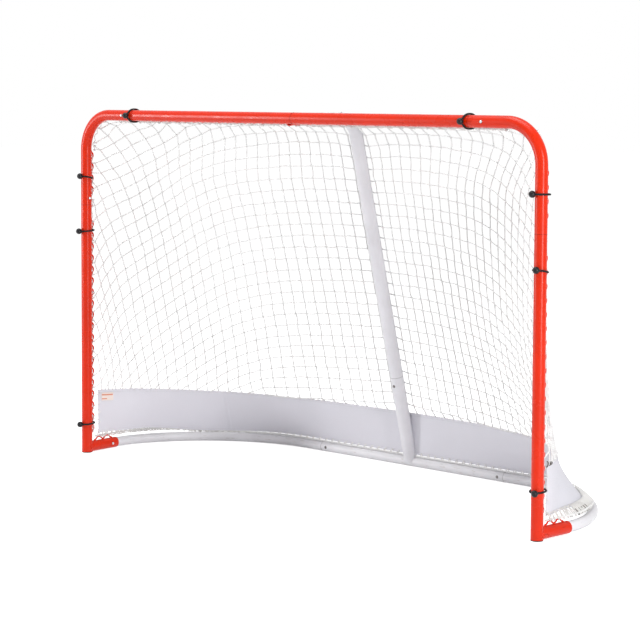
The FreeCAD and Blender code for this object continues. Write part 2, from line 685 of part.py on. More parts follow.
def clipped(outline, window):
    """The part of an outline inside a counterclockwise convex window."""
    for a, b in zip(window, window[1:] + window[:1]):
        def depth(p):
            return (b[0] - a[0]) * (p[1] - a[1]) - (b[1] - a[1]) * (p[0] - a[0])

        kept = []
        for p, q in zip(outline, outline[1:] + outline[:1]):
            if depth(p) >= 0:
                kept.append(p)
            if depth(p) * depth(q) < 0:
                share = depth(p) / (depth(p) - depth(q))
                kept.append((p[0] + (q[0] - p[0]) * share, p[1] + (q[1] - p[1]) * share))
        outline = kept
    return outline


def area(outline):
    pairs = zip(outline, outline[1:] + outline[:1])
    return abs(sum(p[0] * q[1] - p[1] * q[0] for p, q in pairs)) / 2


def net_panel(corners, insets, normal):
    """One flat holed face, given a thickness: square cells inside an unbroken rim."""
    level = UP.cross(normal)
    u = (level if level.Length > 0.5 else ACROSS - normal * ACROSS.dot(normal)).normalize()
    v = normal.cross(u)
    flat = [((p - corners[0]).dot(u), (p - corners[0]).dot(v)) for p in corners]
    turn = (flat[1][0] - flat[0][0]) * (flat[2][1] - flat[0][1])
    turn -= (flat[1][1] - flat[0][1]) * (flat[2][0] - flat[0][0])
    if turn < 0:
        flat.reverse()
        insets = [insets[1], insets[0], insets[2]]

    def wire(outline):
        points = [corners[0] + u * x + v * y - normal * (NET_THICK / 2) for x, y in outline]
        return Part.makePolygon(points + points[:1])

    rim = moved_in(flat, insets)
    window = moved_in(flat, [inset + NET_RIM for inset in insets])
    xs = [p[0] for p in flat]
    ys = [p[1] for p in flat]
    gap = NET_CELL - NET_STRAND
    wires = [wire(rim)]
    for column in range(int(min(xs) // NET_CELL), int(max(xs) // NET_CELL) + 1):
        for row in range(int(min(ys) // NET_CELL), int(max(ys) // NET_CELL) + 1):
            x, y = column * NET_CELL, row * NET_CELL
            cell = clipped([(x, y), (x + gap, y), (x + gap, y + gap), (x, y + gap)], window)
            if len(cell) > 2 and area(cell) > NET_LEAST_CELL * gap**2:
                wires.append(wire(cell))
    face = Part.makeFace(wires, "Part::FaceMakerBullseye")
    return face.extrude(normal * NET_THICK), len(wires) - 1


def net(cutters):
    """The net's pieces: flat panels mitred along the lines where they meet."""
    points = net_points()
    groups = net_triangles()
    normals = {}
    for group in groups.values():
        for names in group:
            normals[names] = outward_normal([points[name] for name in names])
    gaps = 0
    pieces = {}
    for key, group in groups.items():
        panels = []
        for names in group:
            insets = []
            for pair in zip(names, names[1:] + names[:1]):
                others = [n for n in normals if n != names and set(pair) <= set(n)]
                lean = normals[names].getAngle(normals[others[0]]) if others else 0
                insets.append(NET_SEAM_CLEAR + NET_THICK / 2 * math.tan(lean / 2))
            panel, count = net_panel([points[name] for name in names], insets, normals[names])
            gaps += count
            touching = [c for c in cutters if c.BoundBox.intersect(panel.BoundBox)]
            if touching:
                panel = panel.cut(touching)
            panels.append(max(panel.Solids, key=lambda solid: solid.Volume))
        pieces[key] = Part.makeCompound(panels)
    print("net gaps", gaps)
    return pieces


class ElasticLoop:
    """An elastic loop round a tube and the net's edge behind it, with a ball in front."""

    def __init__(self, centre, axis, turn_deg, lean_deg, back_step):
        across = axis.cross(BACK)
        normal = turned(axis, across, lean_deg)
        front = turned(BACK * -1, across, lean_deg)
        foreshortening = math.cos(math.radians(lean_deg))
        radius = (FRONT_R + LOOP_CLEAR + LOOP_R) / foreshortening
        ball_way = turned(front, normal, turn_deg)
        first = turned(ball_way, normal, LOOP_FRONT_DEG)
        heading = normal.cross(first)
        angle = math.radians(LOOP_FRONT_DEG)
        lead = (radius * math.sin(angle) - LOOP_R - SOFT_CLEAR) / math.cos(angle)
        self.ball_centre = centre + ball_way * ((FRONT_R + LOOP_CLEAR + BALL_R) / foreshortening)
        self.route = Route(centre + first * radius - heading * lead, heading)
        self.route.run(lead)
        self.route.bend(radius, 90 - LOOP_FRONT_DEG - turn_deg, normal)
        self.route.run(back_step)
        self.route.bend(radius, 180, normal)
        self.route.run(back_step)
        self.route.bend(radius, 90 - LOOP_FRONT_DEG + turn_deg, normal)
        self.route.run(lead)

    def loop(self):
        return self.route.rod(LOOP_R)

    def ball(self):
        return Part.makeSphere(BALL_R, self.ball_centre).cut(self.loop())

    def room(self):
        return self.route.rod(LOOP_R + SOFT_CLEAR)


def elastic_loops():
    loops = []
    for _, side in SIDES:
        for height, turn_deg in POST_LOOPS[side]:
            place = Vector(side * POST_X, 0, height)
            loops.append(ElasticLoop(place, UP, turn_deg, 0, POST_LOOP_BACK_STEP))
        seam = Vector(side * CROSSBAR_SEAM_X, 0, CROSSBAR_Z)
        loops.append(ElasticLoop(seam, ACROSS, 0, CROSSBAR_LOOP_LEAN_DEG, CROSSBAR_LOOP_BACK_STEP))
    return loops


def goal():
    """Every piece of the goal by node name."""
    joints = snap_joints()
    pieces = front_frame(joints)
    pieces["post_caps"] = post_caps()
    pieces.update(base_frame(joints))
    pieces.update(centre_bar(joints))
    for name, joint in joints.items():
        settle = laid_down if is_base(name) else (lambda shape: shape)
        pieces[f"snap_button_{name}"] = settle(joint.button())
        pieces[f"snap_spring_{name}"] = settle(joint.spring())
    pieces.update(lacing_rods())
    pieces.update(ropes())
    loops = elastic_loops()
    rooms = [loop.room() for loop in loops]
    pieces["skirt"] = skirt(rooms)
    pieces["sewn_tag"] = sewn_tag()
    pieces["elastic_loops"] = Part.makeCompound([loop.loop() for loop in loops])
    pieces["elastic_balls"] = Part.makeCompound([loop.ball() for loop in loops])
    pieces.update(net(bar_envelope() + rooms))
    return pieces


def footprint_middle():
    """Halfway between the foremost ball and the back of the centre bar's foot or the rail."""
    front = min(loop.ball_centre.y for loop in elastic_loops()) - BALL_R
    bar_back = (bar_at(BAR_FOOT.z + BAR_FOOT_RISE) - BAR_FACE * BAR_R).y
    return (front + max(bar_back, BASE_DEPTH + REAR_R)) / 2


if __name__ == "__main__":
    os.makedirs("parts", exist_ok=True)
    shapes = goal()
    forward = BACK * -footprint_middle()
    for node, shape in shapes.items():
        shape.translate(forward)
        shape.exportStep(f"parts/{node}.step")
        print(node, len(shape.Solids), shape.isValid(), round(shape.Volume / 1000, 2))
    print("moved", forward.y)
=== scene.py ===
"""Hockey goal of painted tube with a knotted net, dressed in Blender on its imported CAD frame.

The tubes, rods, buttons, springs and caps are the CAD nodes with better finishes. The net, its
lacing, the ropes, the skirt, the tag and the elastic ties are built here in their place. Sizes
are in metres. While a piece is built, Y is measured back from the goal line through the posts,
and X from the middle of the goal, right being positive.
"""

import sys
import logging
import math
from collections.abc import Iterable, Sequence
from dataclasses import dataclass, field
from enum import Enum
from functools import cache

import bpy
import numpy as np
from mathutils import Matrix


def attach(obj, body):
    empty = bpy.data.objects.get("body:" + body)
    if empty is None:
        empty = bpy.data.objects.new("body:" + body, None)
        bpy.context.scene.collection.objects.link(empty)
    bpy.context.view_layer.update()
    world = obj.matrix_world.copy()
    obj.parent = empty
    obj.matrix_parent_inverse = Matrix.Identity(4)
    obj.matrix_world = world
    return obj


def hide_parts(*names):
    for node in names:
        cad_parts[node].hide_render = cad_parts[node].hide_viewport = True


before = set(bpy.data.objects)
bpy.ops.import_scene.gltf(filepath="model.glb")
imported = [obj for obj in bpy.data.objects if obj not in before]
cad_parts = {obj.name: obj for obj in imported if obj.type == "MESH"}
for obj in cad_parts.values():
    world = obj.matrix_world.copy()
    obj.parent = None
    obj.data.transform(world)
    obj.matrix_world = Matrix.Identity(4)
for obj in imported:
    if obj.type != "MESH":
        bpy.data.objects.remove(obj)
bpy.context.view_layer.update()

log = logging.getLogger("goal")

Point = Sequence[float]
Colour = tuple[int, int, int]
Material = bpy.types.Material
Socket = bpy.types.NodeSocket

# The goal line's Y in the part's own frame
GOAL_LINE_Y = -0.2783231517672115
BODY = "frame"

TURN = 2 * math.pi
UP = np.array([0.0, 0.0, 1.0])
ACROSS = np.array([1.0, 0.0, 0.0])
BACK = np.array([0.0, 1.0, 0.0])
# Upright part of a direction from which it counts as steep, and a length that counts as none
STEEP = 0.8
NOTHING = 1e-12


class Hand(Enum):
    """Side of the goal, as the sign of X."""

    LEFT = -1
    RIGHT = 1

    @property
    def word(self) -> str:
        """Name of the side, as the CAD nodes end."""
        return self.name.lower()

    @property
    def mirror(self) -> np.ndarray:
        """Factors that take points of the right side to this one."""
        return np.array([self.value, 1, 1])


class Lay(Enum):
    """How the yarns of a cord lie on its surface, as the number of ridges round it."""

    TWISTED = 3
    BRAIDED = 8


# ---------------------------------------------------------------------------------------------
# Finishes


def linear(colour: Colour, factor: float = 1.0) -> tuple[float, float, float, float]:
    """Turn a colour of the screen into the linear colour that shaders take.

    Args:
        colour: Red, green and blue from 0 to 255.
        factor: What the linear colour is multiplied by, up to full.

    Returns:
        Red, green, blue and an alpha of 1.
    """
    parts = [c / 255 for c in colour]
    parts = [c / 12.92 if c <= 0.04045 else ((c + 0.055) / 1.055) ** 2.4 for c in parts]
    return (*(min(c * factor, 1.0) for c in parts), 1.0)


class Nodes:
    """The nodes of one tree, added and joined."""

    def __init__(self, owner: Material | bpy.types.World) -> None:
        """Empty the tree.

        Args:
            owner: The material or world that the tree belongs to.
        """
        owner.use_nodes = True
        self.tree = owner.node_tree
        self.tree.nodes.clear()

    def add(self, kind: str, inputs: dict[str | int, object] | None = None, **settings: object) -> bpy.types.Node:
        """Add a node.

        Args:
            kind: Blender's name of the node.
            inputs: Outputs to join to its inputs, or constants to set them to.
            **settings: Attributes to set on it.

        Returns:
            The new node.
        """
        node = self.tree.nodes.new(kind)
        for key, value in settings.items():
            setattr(node, key, value)
        for key, value in (inputs or {}).items():
            if isinstance(value, bpy.types.NodeSocket):
                self.tree.links.new(value, node.inputs[key])
            else:
                node.inputs[key].default_value = value
        return node

    def maths(self, operation: str, a: Socket | float, b: Socket | float = 0.0) -> Socket:
        """Result of one arithmetic step on two values."""
        return self.add("ShaderNodeMath", {0: a, 1: b}, operation=operation).outputs[0]

    def spread(self, value: Socket, low: float, high: float, to_low: float, to_high: float) -> Socket:
        """Value moved from one range to another and held inside it."""
        inputs = {"Value": value, "From Min": low, "From Max": high, "To Min": to_low, "To Max": to_high}
        return self.add("ShaderNodeMapRange", inputs).outputs["Result"]


class Shader(Nodes):
    """A material's nodes round one principled shader."""

    def __init__(self, name: str) -> None:
        """Start a material.

        Args:
            name: The material's name.
        """
        self.material = bpy.data.materials.new(name)
        super().__init__(self.material)
        coordinates = self.add("ShaderNodeTexCoord")
        self.place, self.along = coordinates.outputs["Object"], coordinates.outputs["UV"]

    def split(self, vector: Socket) -> Sequence[Socket]:
        """The three parts of a vector."""
        return self.add("ShaderNodeSeparateXYZ", {0: vector}).outputs

    def noise(
        self, scale: float, detail: float = 3.0, stretch: Point = (1, 1, 1), vector: Socket | None = None
    ) -> Socket:
        """Cloudy noise over the piece.

        Args:
            scale: Clouds in a metre.
            detail: How many finer layers it has.
            stretch: Factor on the scale in X, Y and Z.
            vector: Coordinates to use instead of the piece's own.

        Returns:
            The noise, about 0.5 on average.
        """
        mapping = self.add("ShaderNodeMapping", {"Vector": vector or self.place, "Scale": tuple(stretch)})
        inputs = {"Vector": mapping.outputs["Vector"], "Scale": scale, "Detail": detail}
        return self.add("ShaderNodeTexNoise", inputs).outputs[0]

    def mix(self, share: Socket | float, a: Socket | tuple, b: Socket | tuple) -> Socket:
        """Colour that goes from one to another with a share."""
        return self.add("ShaderNodeMix", {"Factor": share, 6: a, 7: b}, data_type="RGBA").outputs[2]

    def waves(self, per_metre: float, turns: float) -> Socket:
        """Ridges that run round and along a swept piece.

        Args:
            per_metre: Ridges along a metre of the piece.
            turns: Ridges round it.

        Returns:
            A height from -1 to 1.
        """
        length, share, _ = self.split(self.along)
        phase = self.maths("ADD", self.maths("MULTIPLY", length, per_metre), self.maths("MULTIPLY", share, turns))
        return self.maths("SINE", self.maths("MULTIPLY", phase, TURN))

    def bump(self, height: Socket, depth: float, strength: float, over: Socket | None = None) -> Socket:
        """Bumped normal.

        Args:
            height: What the bumps follow.
            depth: Metres for a height of 1.
            strength: Share of the bump that shows.
            over: Another bump under it.

        Returns:
            The normal.
        """
        inputs = {"Height": height, "Distance": depth, "Strength": strength}
        if over is not None:
            inputs["Normal"] = over
        return self.add("ShaderNodeBump", inputs).outputs["Normal"]

    def finish(self, colour: Socket, roughness: Socket | float, normal: Socket, **constants: float) -> Material:
        """Put the results on the shader.

        Args:
            colour: The base colour.
            roughness: The roughness.
            normal: The bumped normal.
            **constants: Other sockets of the shader, by name with underlines for spaces.

        Returns:
            The material.
        """
        inputs = {"Base Color": colour, "Roughness": roughness, "Normal": normal}
        inputs |= {name.replace("_", " "): value for name, value in constants.items()}
        surface = self.add("ShaderNodeBsdfPrincipled", inputs)
        self.add("ShaderNodeOutputMaterial", {"Surface": surface.outputs["BSDF"]})
        return self.material


@dataclass(frozen=True)
class Finish:
    """A finish with its name and main colour."""

    name: str
    colour: Colour

    @cache
    def material(self) -> Material:
        """The finish's material, made when it is first asked for."""
        return self.shade(Shader(self.name))

    def shade(self, s: Shader) -> Material:
        """Put the look together. Each kind of finish does it in its own way."""
        raise NotImplementedError


@dataclass(frozen=True)
class TubePaint(Finish):
    """Glossy sprayed enamel on steel tube, with a fine skin, faint runs and scuffs near the floor."""

    scuff: Colour
    roughness: float = 0.34
    gloss: float = 0.22
    scuff_height: float = 0.045
    specks: float = 0.62

    def shade(self, s: Shader) -> Material:
        """Put the paint's look together."""
        clouds = s.spread(s.noise(scale=7, detail=4), 0.3, 0.7, 0, 1)
        colour = s.mix(clouds, linear(self.colour, 0.93), linear(self.colour, 1.06))
        scratches = s.noise(scale=34, detail=6, stretch=(1, 1, 9))
        scratches = s.spread(scratches, self.specks, self.specks + 0.06, 0, 1)
        low = s.spread(s.split(s.place)[2], 0.0, self.scuff_height, 0.75, 0.05)
        colour = s.mix(s.maths("MULTIPLY", scratches, low), colour, linear(self.scuff))
        peel = s.bump(s.noise(scale=420, detail=2), depth=0.00012, strength=0.35)
        runs = s.noise(scale=55, detail=2, stretch=(1, 1, 0.25))
        runs = s.bump(runs, depth=0.0006, strength=0.25, over=peel)
        rough = s.spread(s.noise(scale=18), 0.35, 0.65, self.roughness - 0.05, self.roughness + 0.08)
        return s.finish(colour, rough, runs, Specular_IOR_Level=self.gloss)


@dataclass(frozen=True)
class Steel(Finish):
    """Bare steel with fine drawing lines."""

    roughness: float
    lines: Point = (60.0, 60.0, 2.0)

    def shade(self, s: Shader) -> Material:
        """Put the steel's look together."""
        drawn = s.noise(scale=12, stretch=self.lines)
        colour = s.mix(drawn, linear(self.colour, 0.82), linear(self.colour, 1.05))
        rough = s.spread(drawn, 0.3, 0.7, self.roughness, self.roughness + 0.15)
        return s.finish(colour, rough, s.bump(drawn, depth=0.0002, strength=0.2), Metallic=1.0)


@dataclass(frozen=True)
class Plastic(Finish):
    """Moulded plastic with a fine spark-eroded grain."""

    roughness: float

    def shade(self, s: Shader) -> Material:
        """Put the plastic's look together."""
        colour = s.mix(s.noise(scale=60), linear(self.colour, 0.8), linear(self.colour, 1.25))
        rough = s.noise(scale=300, detail=2)
        rough = s.spread(rough, 0.3, 0.7, self.roughness - 0.06, self.roughness + 0.1)
        grain = s.bump(s.noise(scale=1400, detail=2), depth=0.0001, strength=0.4)
        return s.finish(colour, rough, grain, Specular_IOR_Level=0.25)


@dataclass(frozen=True)
class Yarn(Finish):
    """Cord whose yarns show as slanting ridges with painted shade in their grooves, loose fibres and a little
    soiling.
    """

    soil: Colour
    lay: Lay
    pitch: float
    depth: float
    roughness: float = 0.75
    sheen: float = 0.15

    def shade(self, s: Shader) -> Material:
        """Put the cord's look together."""
        ridges = s.waves(1 / self.pitch, self.lay.value)
        if self.lay is Lay.BRAIDED:
            ridges = s.maths("MULTIPLY", ridges, s.waves(1 / self.pitch, -self.lay.value))
        # The grooves between the yarns are painted darker, as painted shade
        groove_shade = s.spread(ridges, -1, 1, 0.75, 0)
        colour = s.mix(groove_shade, linear(self.colour), linear(self.colour, 0.72))
        soiling = s.spread(s.noise(scale=9, detail=4), 0.45, 0.75, 0, 0.6)
        colour = s.mix(soiling, colour, linear(self.soil))
        fibres = s.bump(s.noise(scale=1500, detail=2), depth=0.0002, strength=0.5)
        normal = s.bump(ridges, self.depth, strength=0.9, over=fibres)
        constants = {"Sheen_Weight": self.sheen, "Sheen_Roughness": 0.5, "Specular_IOR_Level": 0.2}
        return s.finish(colour, self.roughness, normal, **constants)


@dataclass(frozen=True)
class Cloth(Finish):
    """Woven cloth: crossing yarns with painted shade in the weave's hollows, slubs along them and a soft change of
    tone.
    """

    yarn: float = 0.0011
    roughness: float = 0.82
    # Woven marks: their colour, and each one's lower side, upper side and end along the cloth
    marks: Colour = (255, 255, 255)
    bands: tuple[tuple[float, float, float], ...] = ()
    mark_edge: float = 0.0006
    mark_end: float = 0.0008

    def shade(self, s: Shader) -> Material:
        """Put the cloth's look together."""
        warp = s.waves(1 / self.yarn, 0)
        length, height, _ = s.split(s.along)
        weave = s.maths("MULTIPLY", warp, s.maths("SINE", s.maths("MULTIPLY", height, TURN / self.yarn)))
        slubs = s.noise(scale=90, stretch=(1, 14, 1), vector=s.along)
        tone = s.spread(s.noise(scale=5, vector=s.along), 0.3, 0.7, 0, 1)
        colour = s.mix(tone, linear(self.colour, 0.975), linear(self.colour, 1.01))
        # The hollows of the weave are painted a little darker, as painted shade
        colour = s.mix(s.spread(weave, -1, 1, 0.10, 0.0), colour, linear(self.colour, 0.6))
        colour = s.mix(s.spread(slubs, 0.55, 0.8, 0, 0.25), colour, linear(self.colour, 0.9))
        for low, high, end in self.bands:
            above = s.spread(height, low, low + self.mark_edge, 0, 1)
            below = s.spread(height, high - self.mark_edge, high, 1, 0)
            inside = s.maths("MULTIPLY", above, below)
            inside = s.maths("MULTIPLY", inside, s.spread(length, end - self.mark_end, end, 1, 0))
            inside = s.maths("MULTIPLY", inside, s.spread(slubs, 0.3, 0.7, 0.7, 1))
            colour = s.mix(inside, colour, linear(self.marks))
        lumps = s.bump(slubs, depth=0.0006, strength=0.25)
        normal = s.bump(weave, depth=0.00025, strength=0.5, over=lumps)
        return s.finish(colour, self.roughness, normal, Sheen_Weight=0.2, Sheen_Roughness=0.45)


@dataclass(frozen=True)
class Finishes:
    """Every finish of the goal."""

    red: TubePaint = TubePaint("red_enamel", (208, 39, 2), (104, 28, 12), 0.27)
    white: TubePaint = TubePaint("white_enamel", (220, 219, 224), (160, 150, 144))
    # A copy of the white enamel kept for the rail to paint it lit more brightly than the bar; its colour now nearly
    # matches the bar's
    rail: TubePaint = TubePaint("rail_enamel", (220, 219, 223), (170, 162, 156))
    sleeve: Steel = Steel("sleeve_steel", (150, 150, 152), 0.35)
    button: Steel = Steel("button_steel", (205, 205, 208), 0.2, (40, 40, 40))
    # A darker copy of the button steel for the buttons low on the frame: painted shade
    dark_button: Steel = Steel("painted_shade_button_steel", (122, 119, 118), 0.35, (40, 40, 40))
    spring: Steel = Steel("spring_steel", (120, 122, 128), 0.3)
    cap: Plastic = Plastic("cap_plastic", (34, 32, 33), 0.42)
    ball: Plastic = Plastic("ball_plastic", (17, 18, 22), 0.3)
    net: Yarn = Yarn("net_yarn", (240, 240, 240), (231, 229, 227), Lay.TWISTED, 0.006, 0.0001)
    lace: Yarn = Yarn("lace_yarn", (243, 242, 240), (230, 227, 221), Lay.BRAIDED, 0.004, 0.0002)
    rope: Yarn = Yarn("rope_yarn", (246, 246, 246), (236, 234, 231), Lay.TWISTED, 0.0035, 0.0002)
    thread: Yarn = Yarn("stitch_thread", (206, 205, 210), (180, 178, 180), Lay.TWISTED, 0.002, 0.0001)
    # Dark cord for short dark bits at the foot and at the upper edge's right end
    dark_lace: Yarn = Yarn("dark_cord_yarn", (92, 84, 74), (120, 112, 100), Lay.BRAIDED, 0.004, 0.0003)
    elastic: Yarn = Yarn("elastic_yarn", (20, 20, 22), (34, 33, 34), Lay.BRAIDED, 0.003, 0.0003, 0.6, 0.02)
    skirt: Cloth = Cloth("skirt_cloth", (222, 221, 229))
    tag: Cloth = Cloth(
        "tag_cloth", (238, 224, 217), 0.0007, 0.7, (214, 116, 66), ((0.0165, 0.0215, 0.037), (0.0035, 0.0075, 0.018))
    )
    # Dark rings at the tube joints: the joint's line, with painted shade for the gap between the tubes
    red_seam: Plastic = Plastic("red_tube_seam_and_shade", (92, 16, 12), 0.6)
    white_seam: Plastic = Plastic("white_tube_seam_and_shade", (112, 110, 112), 0.6)
    # The ring round each button hole is painted shade for the gap round the button
    hole_edge: Plastic = Plastic("button_hole_edge", (64, 58, 58), 0.6)


FINISHES = Finishes()


# ---------------------------------------------------------------------------------------------
# Meshes


def unit(vectors: np.ndarray) -> np.ndarray:
    """Vectors made one long."""
    return vectors / np.maximum(np.linalg.norm(vectors, axis=-1, keepdims=True), NOTHING)


def walked(line: np.ndarray) -> np.ndarray:
    """Length along a line from its start to each of its points."""
    return np.r_[0, np.cumsum(np.linalg.norm(np.diff(line, axis=0), axis=1))]


def between(at: float | np.ndarray, marks: np.ndarray, line: np.ndarray) -> np.ndarray:
    """Points of a line at the given marks.

    Args:
        at: Where the points are wanted.
        marks: Mark of each point of the line, rising.
        line: The line's points.

    Returns:
        The points, or one point for one mark.
    """
    return np.stack([np.interp(at, marks, line[:, k]) for k in range(3)], -1)


def spaced(line: np.ndarray, step: float) -> np.ndarray:
    """A line's points again, at even steps along it.

    Args:
        line: Points of the line.
        step: About how far apart the new points are.

    Returns:
        The new points.
    """
    length = walked(line)
    return between(np.linspace(0, length[-1], max(int(round(length[-1] / step)), 2) + 1), length, line)


def turned(vector: np.ndarray, axis: np.ndarray, angle: float) -> np.ndarray:
    """A vector turned about an axis by the right-hand rule.

    Args:
        vector: The vector.
        axis: The axis, one long.
        angle: Radians.

    Returns:
        The turned vector.
    """
    c, s = math.cos(angle), math.sin(angle)
    return vector * c + np.cross(axis, vector) * s + axis * (axis @ vector) * (1 - c)


def frames(points: np.ndarray, closed: bool) -> tuple[np.ndarray, np.ndarray]:
    """Two directions across a line at each of its points, with no twist between them.

    Args:
        points: The line's points.
        closed: Whether its end meets its start.

    Returns:
        The two directions, each with one row for every point.
    """
    if closed:
        ahead = np.roll(points, -1, axis=0) - np.roll(points, 1, axis=0)
    else:
        ahead = np.gradient(points, axis=0)
    tangents = unit(ahead)
    first = np.zeros_like(points)
    first[0] = unit(np.cross(tangents[0], UP if abs(tangents[0][2]) < STEEP else ACROSS))
    for k in range(1, len(points)):
        across = first[k - 1] - tangents[k] * (first[k - 1] @ tangents[k])
        first[k] = across / max(np.linalg.norm(across), NOTHING)
    second = np.cross(tangents, first)
    if closed:
        last = first[-1] - tangents[0] * (first[-1] @ tangents[0])
        angle = math.atan2(last @ second[0], last @ first[0])
        turns = -angle * np.arange(len(points)) / len(points)
        c, s = np.cos(turns)[:, None], np.sin(turns)[:, None]
        first, second = first * c + second * s, second * c - first * s
    return first, second


def circle(centre: np.ndarray, axis: np.ndarray, radius: float, count: int) -> np.ndarray:
    """Points of a circle round an axis.

    Args:
        centre: The circle's centre.
        axis: The axis, one long.
        radius: The circle's radius.
        count: How many points.

    Returns:
        The points.
    """
    first, second = frames(np.stack([centre, centre + axis]), False)
    turns = np.linspace(0, TURN, count, endpoint=False)[:, None]
    return centre + radius * (np.cos(turns) * first[0] + np.sin(turns) * second[0])


def coiled(line: np.ndarray, across: float, upright: float, pitch: float, phase: float = 0.0) -> np.ndarray:
    """A line wound round another.

    Args:
        line: The line to wind round, at close even steps.
        across: How far it stands off sideways.
        upright: How far it stands off upward and downward.
        pitch: Length of one turn.
        phase: Where in the turn it starts, in radians.

    Returns:
        Points of the winding.
    """
    tangents = unit(np.gradient(line, axis=0))
    side = unit(np.cross(tangents, np.where(np.abs(tangents[:, 2:]) < STEEP, UP, BACK)))
    lift = np.cross(side, tangents)
    turn = (TURN * walked(line) / pitch + phase)[:, None]
    return line + side * across * np.cos(turn) + lift * upright * np.sin(turn)


def quads(rows: int, cols: int, wrap_rows: bool, wrap_cols: bool) -> np.ndarray:
    """Faces between the neighbouring points of a grid.

    Args:
        rows: Rows of points.
        cols: Columns of points.
        wrap_rows: Whether the last row meets the first.
        wrap_cols: Whether the last column meets the first.

    Returns:
        Four point numbers for each face.
    """
    row = np.arange(rows if wrap_rows else rows - 1)[:, None]
    col = np.arange(cols if wrap_cols else cols - 1)[None]
    after, beside = (row + 1) % rows, (col + 1) % cols
    corners = (row * cols + col, row * cols + beside, after * cols + beside, after * cols + col)
    return np.stack(corners, -1).reshape(-1, 4)


@dataclass
class Piece:
    """The mesh of one piece, gathered part by part before it goes to Blender."""

    name: str
    points: list[np.ndarray] = field(default_factory=list)
    faces: list[list[int]] = field(default_factory=list)
    marks: list[np.ndarray] = field(default_factory=list)
    count: int = 0

    def patch(self, points: np.ndarray, faces: np.ndarray, marks: np.ndarray) -> None:
        """Add points, faces between them and each point's place on the yarn or cloth."""
        self.points.append(points)
        self.marks.append(marks)
        self.faces.extend((faces + self.count).tolist())
        self.count += len(points)

    def sweep(
        self, line: np.ndarray, radius: float | np.ndarray, sides: int = 6, closed: bool = False, flat: float = 1.0
    ) -> None:
        """Add a round or oval bar along a line.

        Args:
            line: Points of the line.
            radius: Radius of the bar, for all points or for each.
            sides: Faces round it.
            closed: Whether its end meets its start.
            flat: Thickness of the oval as a share of its width.
        """
        n = len(line)
        first, second = frames(line, closed)
        radius = np.broadcast_to(radius, (n,))[:, None, None]
        angles = np.linspace(0, TURN, sides, endpoint=False)[None, :, None]
        around = first[:, None] * np.cos(angles) + flat * second[:, None] * np.sin(angles)
        rings = line[:, None] + radius * around
        marks = np.stack(np.broadcast_arrays(walked(line)[:, None], (np.arange(sides) / sides)[None]), -1)
        start, end = self.count, self.count + (n - 1) * sides
        self.patch(rings.reshape(-1, 3), quads(n, sides, closed, True), marks.reshape(-1, 2))
        if not closed:
            self.faces.append([start + k for k in reversed(range(sides))])
            self.faces.append([end + k for k in range(sides)])

    def sheet(self, grid: np.ndarray, marks: np.ndarray, wrap: bool = False) -> None:
        """Add a surface through a grid of points.

        Args:
            grid: Points, rows by columns.
            marks: Place of each on the cloth, in metres.
            wrap: Whether the last row meets the first.
        """
        self.patch(grid.reshape(-1, 3), quads(*grid.shape[:2], wrap, False), marks.reshape(-1, 2))

    def made(self, finish: Finish, slot: str, replaces: Iterable[str] = ()) -> bpy.types.Object:
        """Make the Blender object, in its place on the frame.

        Args:
            finish: Its finish.
            slot: The record's slot that the finish stands for; not used here.
            replaces: CAD nodes that it stands for.

        Returns:
            The object.
        """
        points = np.concatenate(self.points) + BACK * GOAL_LINE_Y
        mesh = bpy.data.meshes.new(self.name)
        mesh.from_pydata(points.tolist(), [], self.faces)
        mesh.polygons.foreach_set("use_smooth", np.ones(len(mesh.polygons), bool))
        corners = np.zeros(len(mesh.loops), int)
        mesh.loops.foreach_get("vertex_index", corners)
        marks = np.concatenate(self.marks)[corners]
        mesh.uv_layers.new(name="place").data.foreach_set("uv", marks.astype(np.float32).ravel())
        mesh.materials.append(finish.material())
        mesh.update()
        made = bpy.data.objects.new(self.name, mesh)
        bpy.context.scene.collection.objects.link(made)
        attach(made, BODY)
        if replaces:
            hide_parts(*replaces)
        log.info("%s: %d points, %d faces", self.name, len(mesh.vertices), len(mesh.polygons))
        return made


def dress(finish: Finish, *nodes: str) -> None:
    """Give CAD nodes a finish.

    Args:
        finish: The finish for all their slots.
        *nodes: The nodes' names.
    """
    material = finish.material()
    for name in nodes:
        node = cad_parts[name]
        if not node.material_slots:
            node.data.materials.append(material)
        for place in node.material_slots:
            place.material = material
        log.info("%s: finish %s", name, finish.name)


def both(*names: str) -> list[str]:
    """Names of CAD nodes that come once on each side."""
    return [f"{name}_{hand.word}" for name in names for hand in Hand]


# ---------------------------------------------------------------------------------------------
# Frame


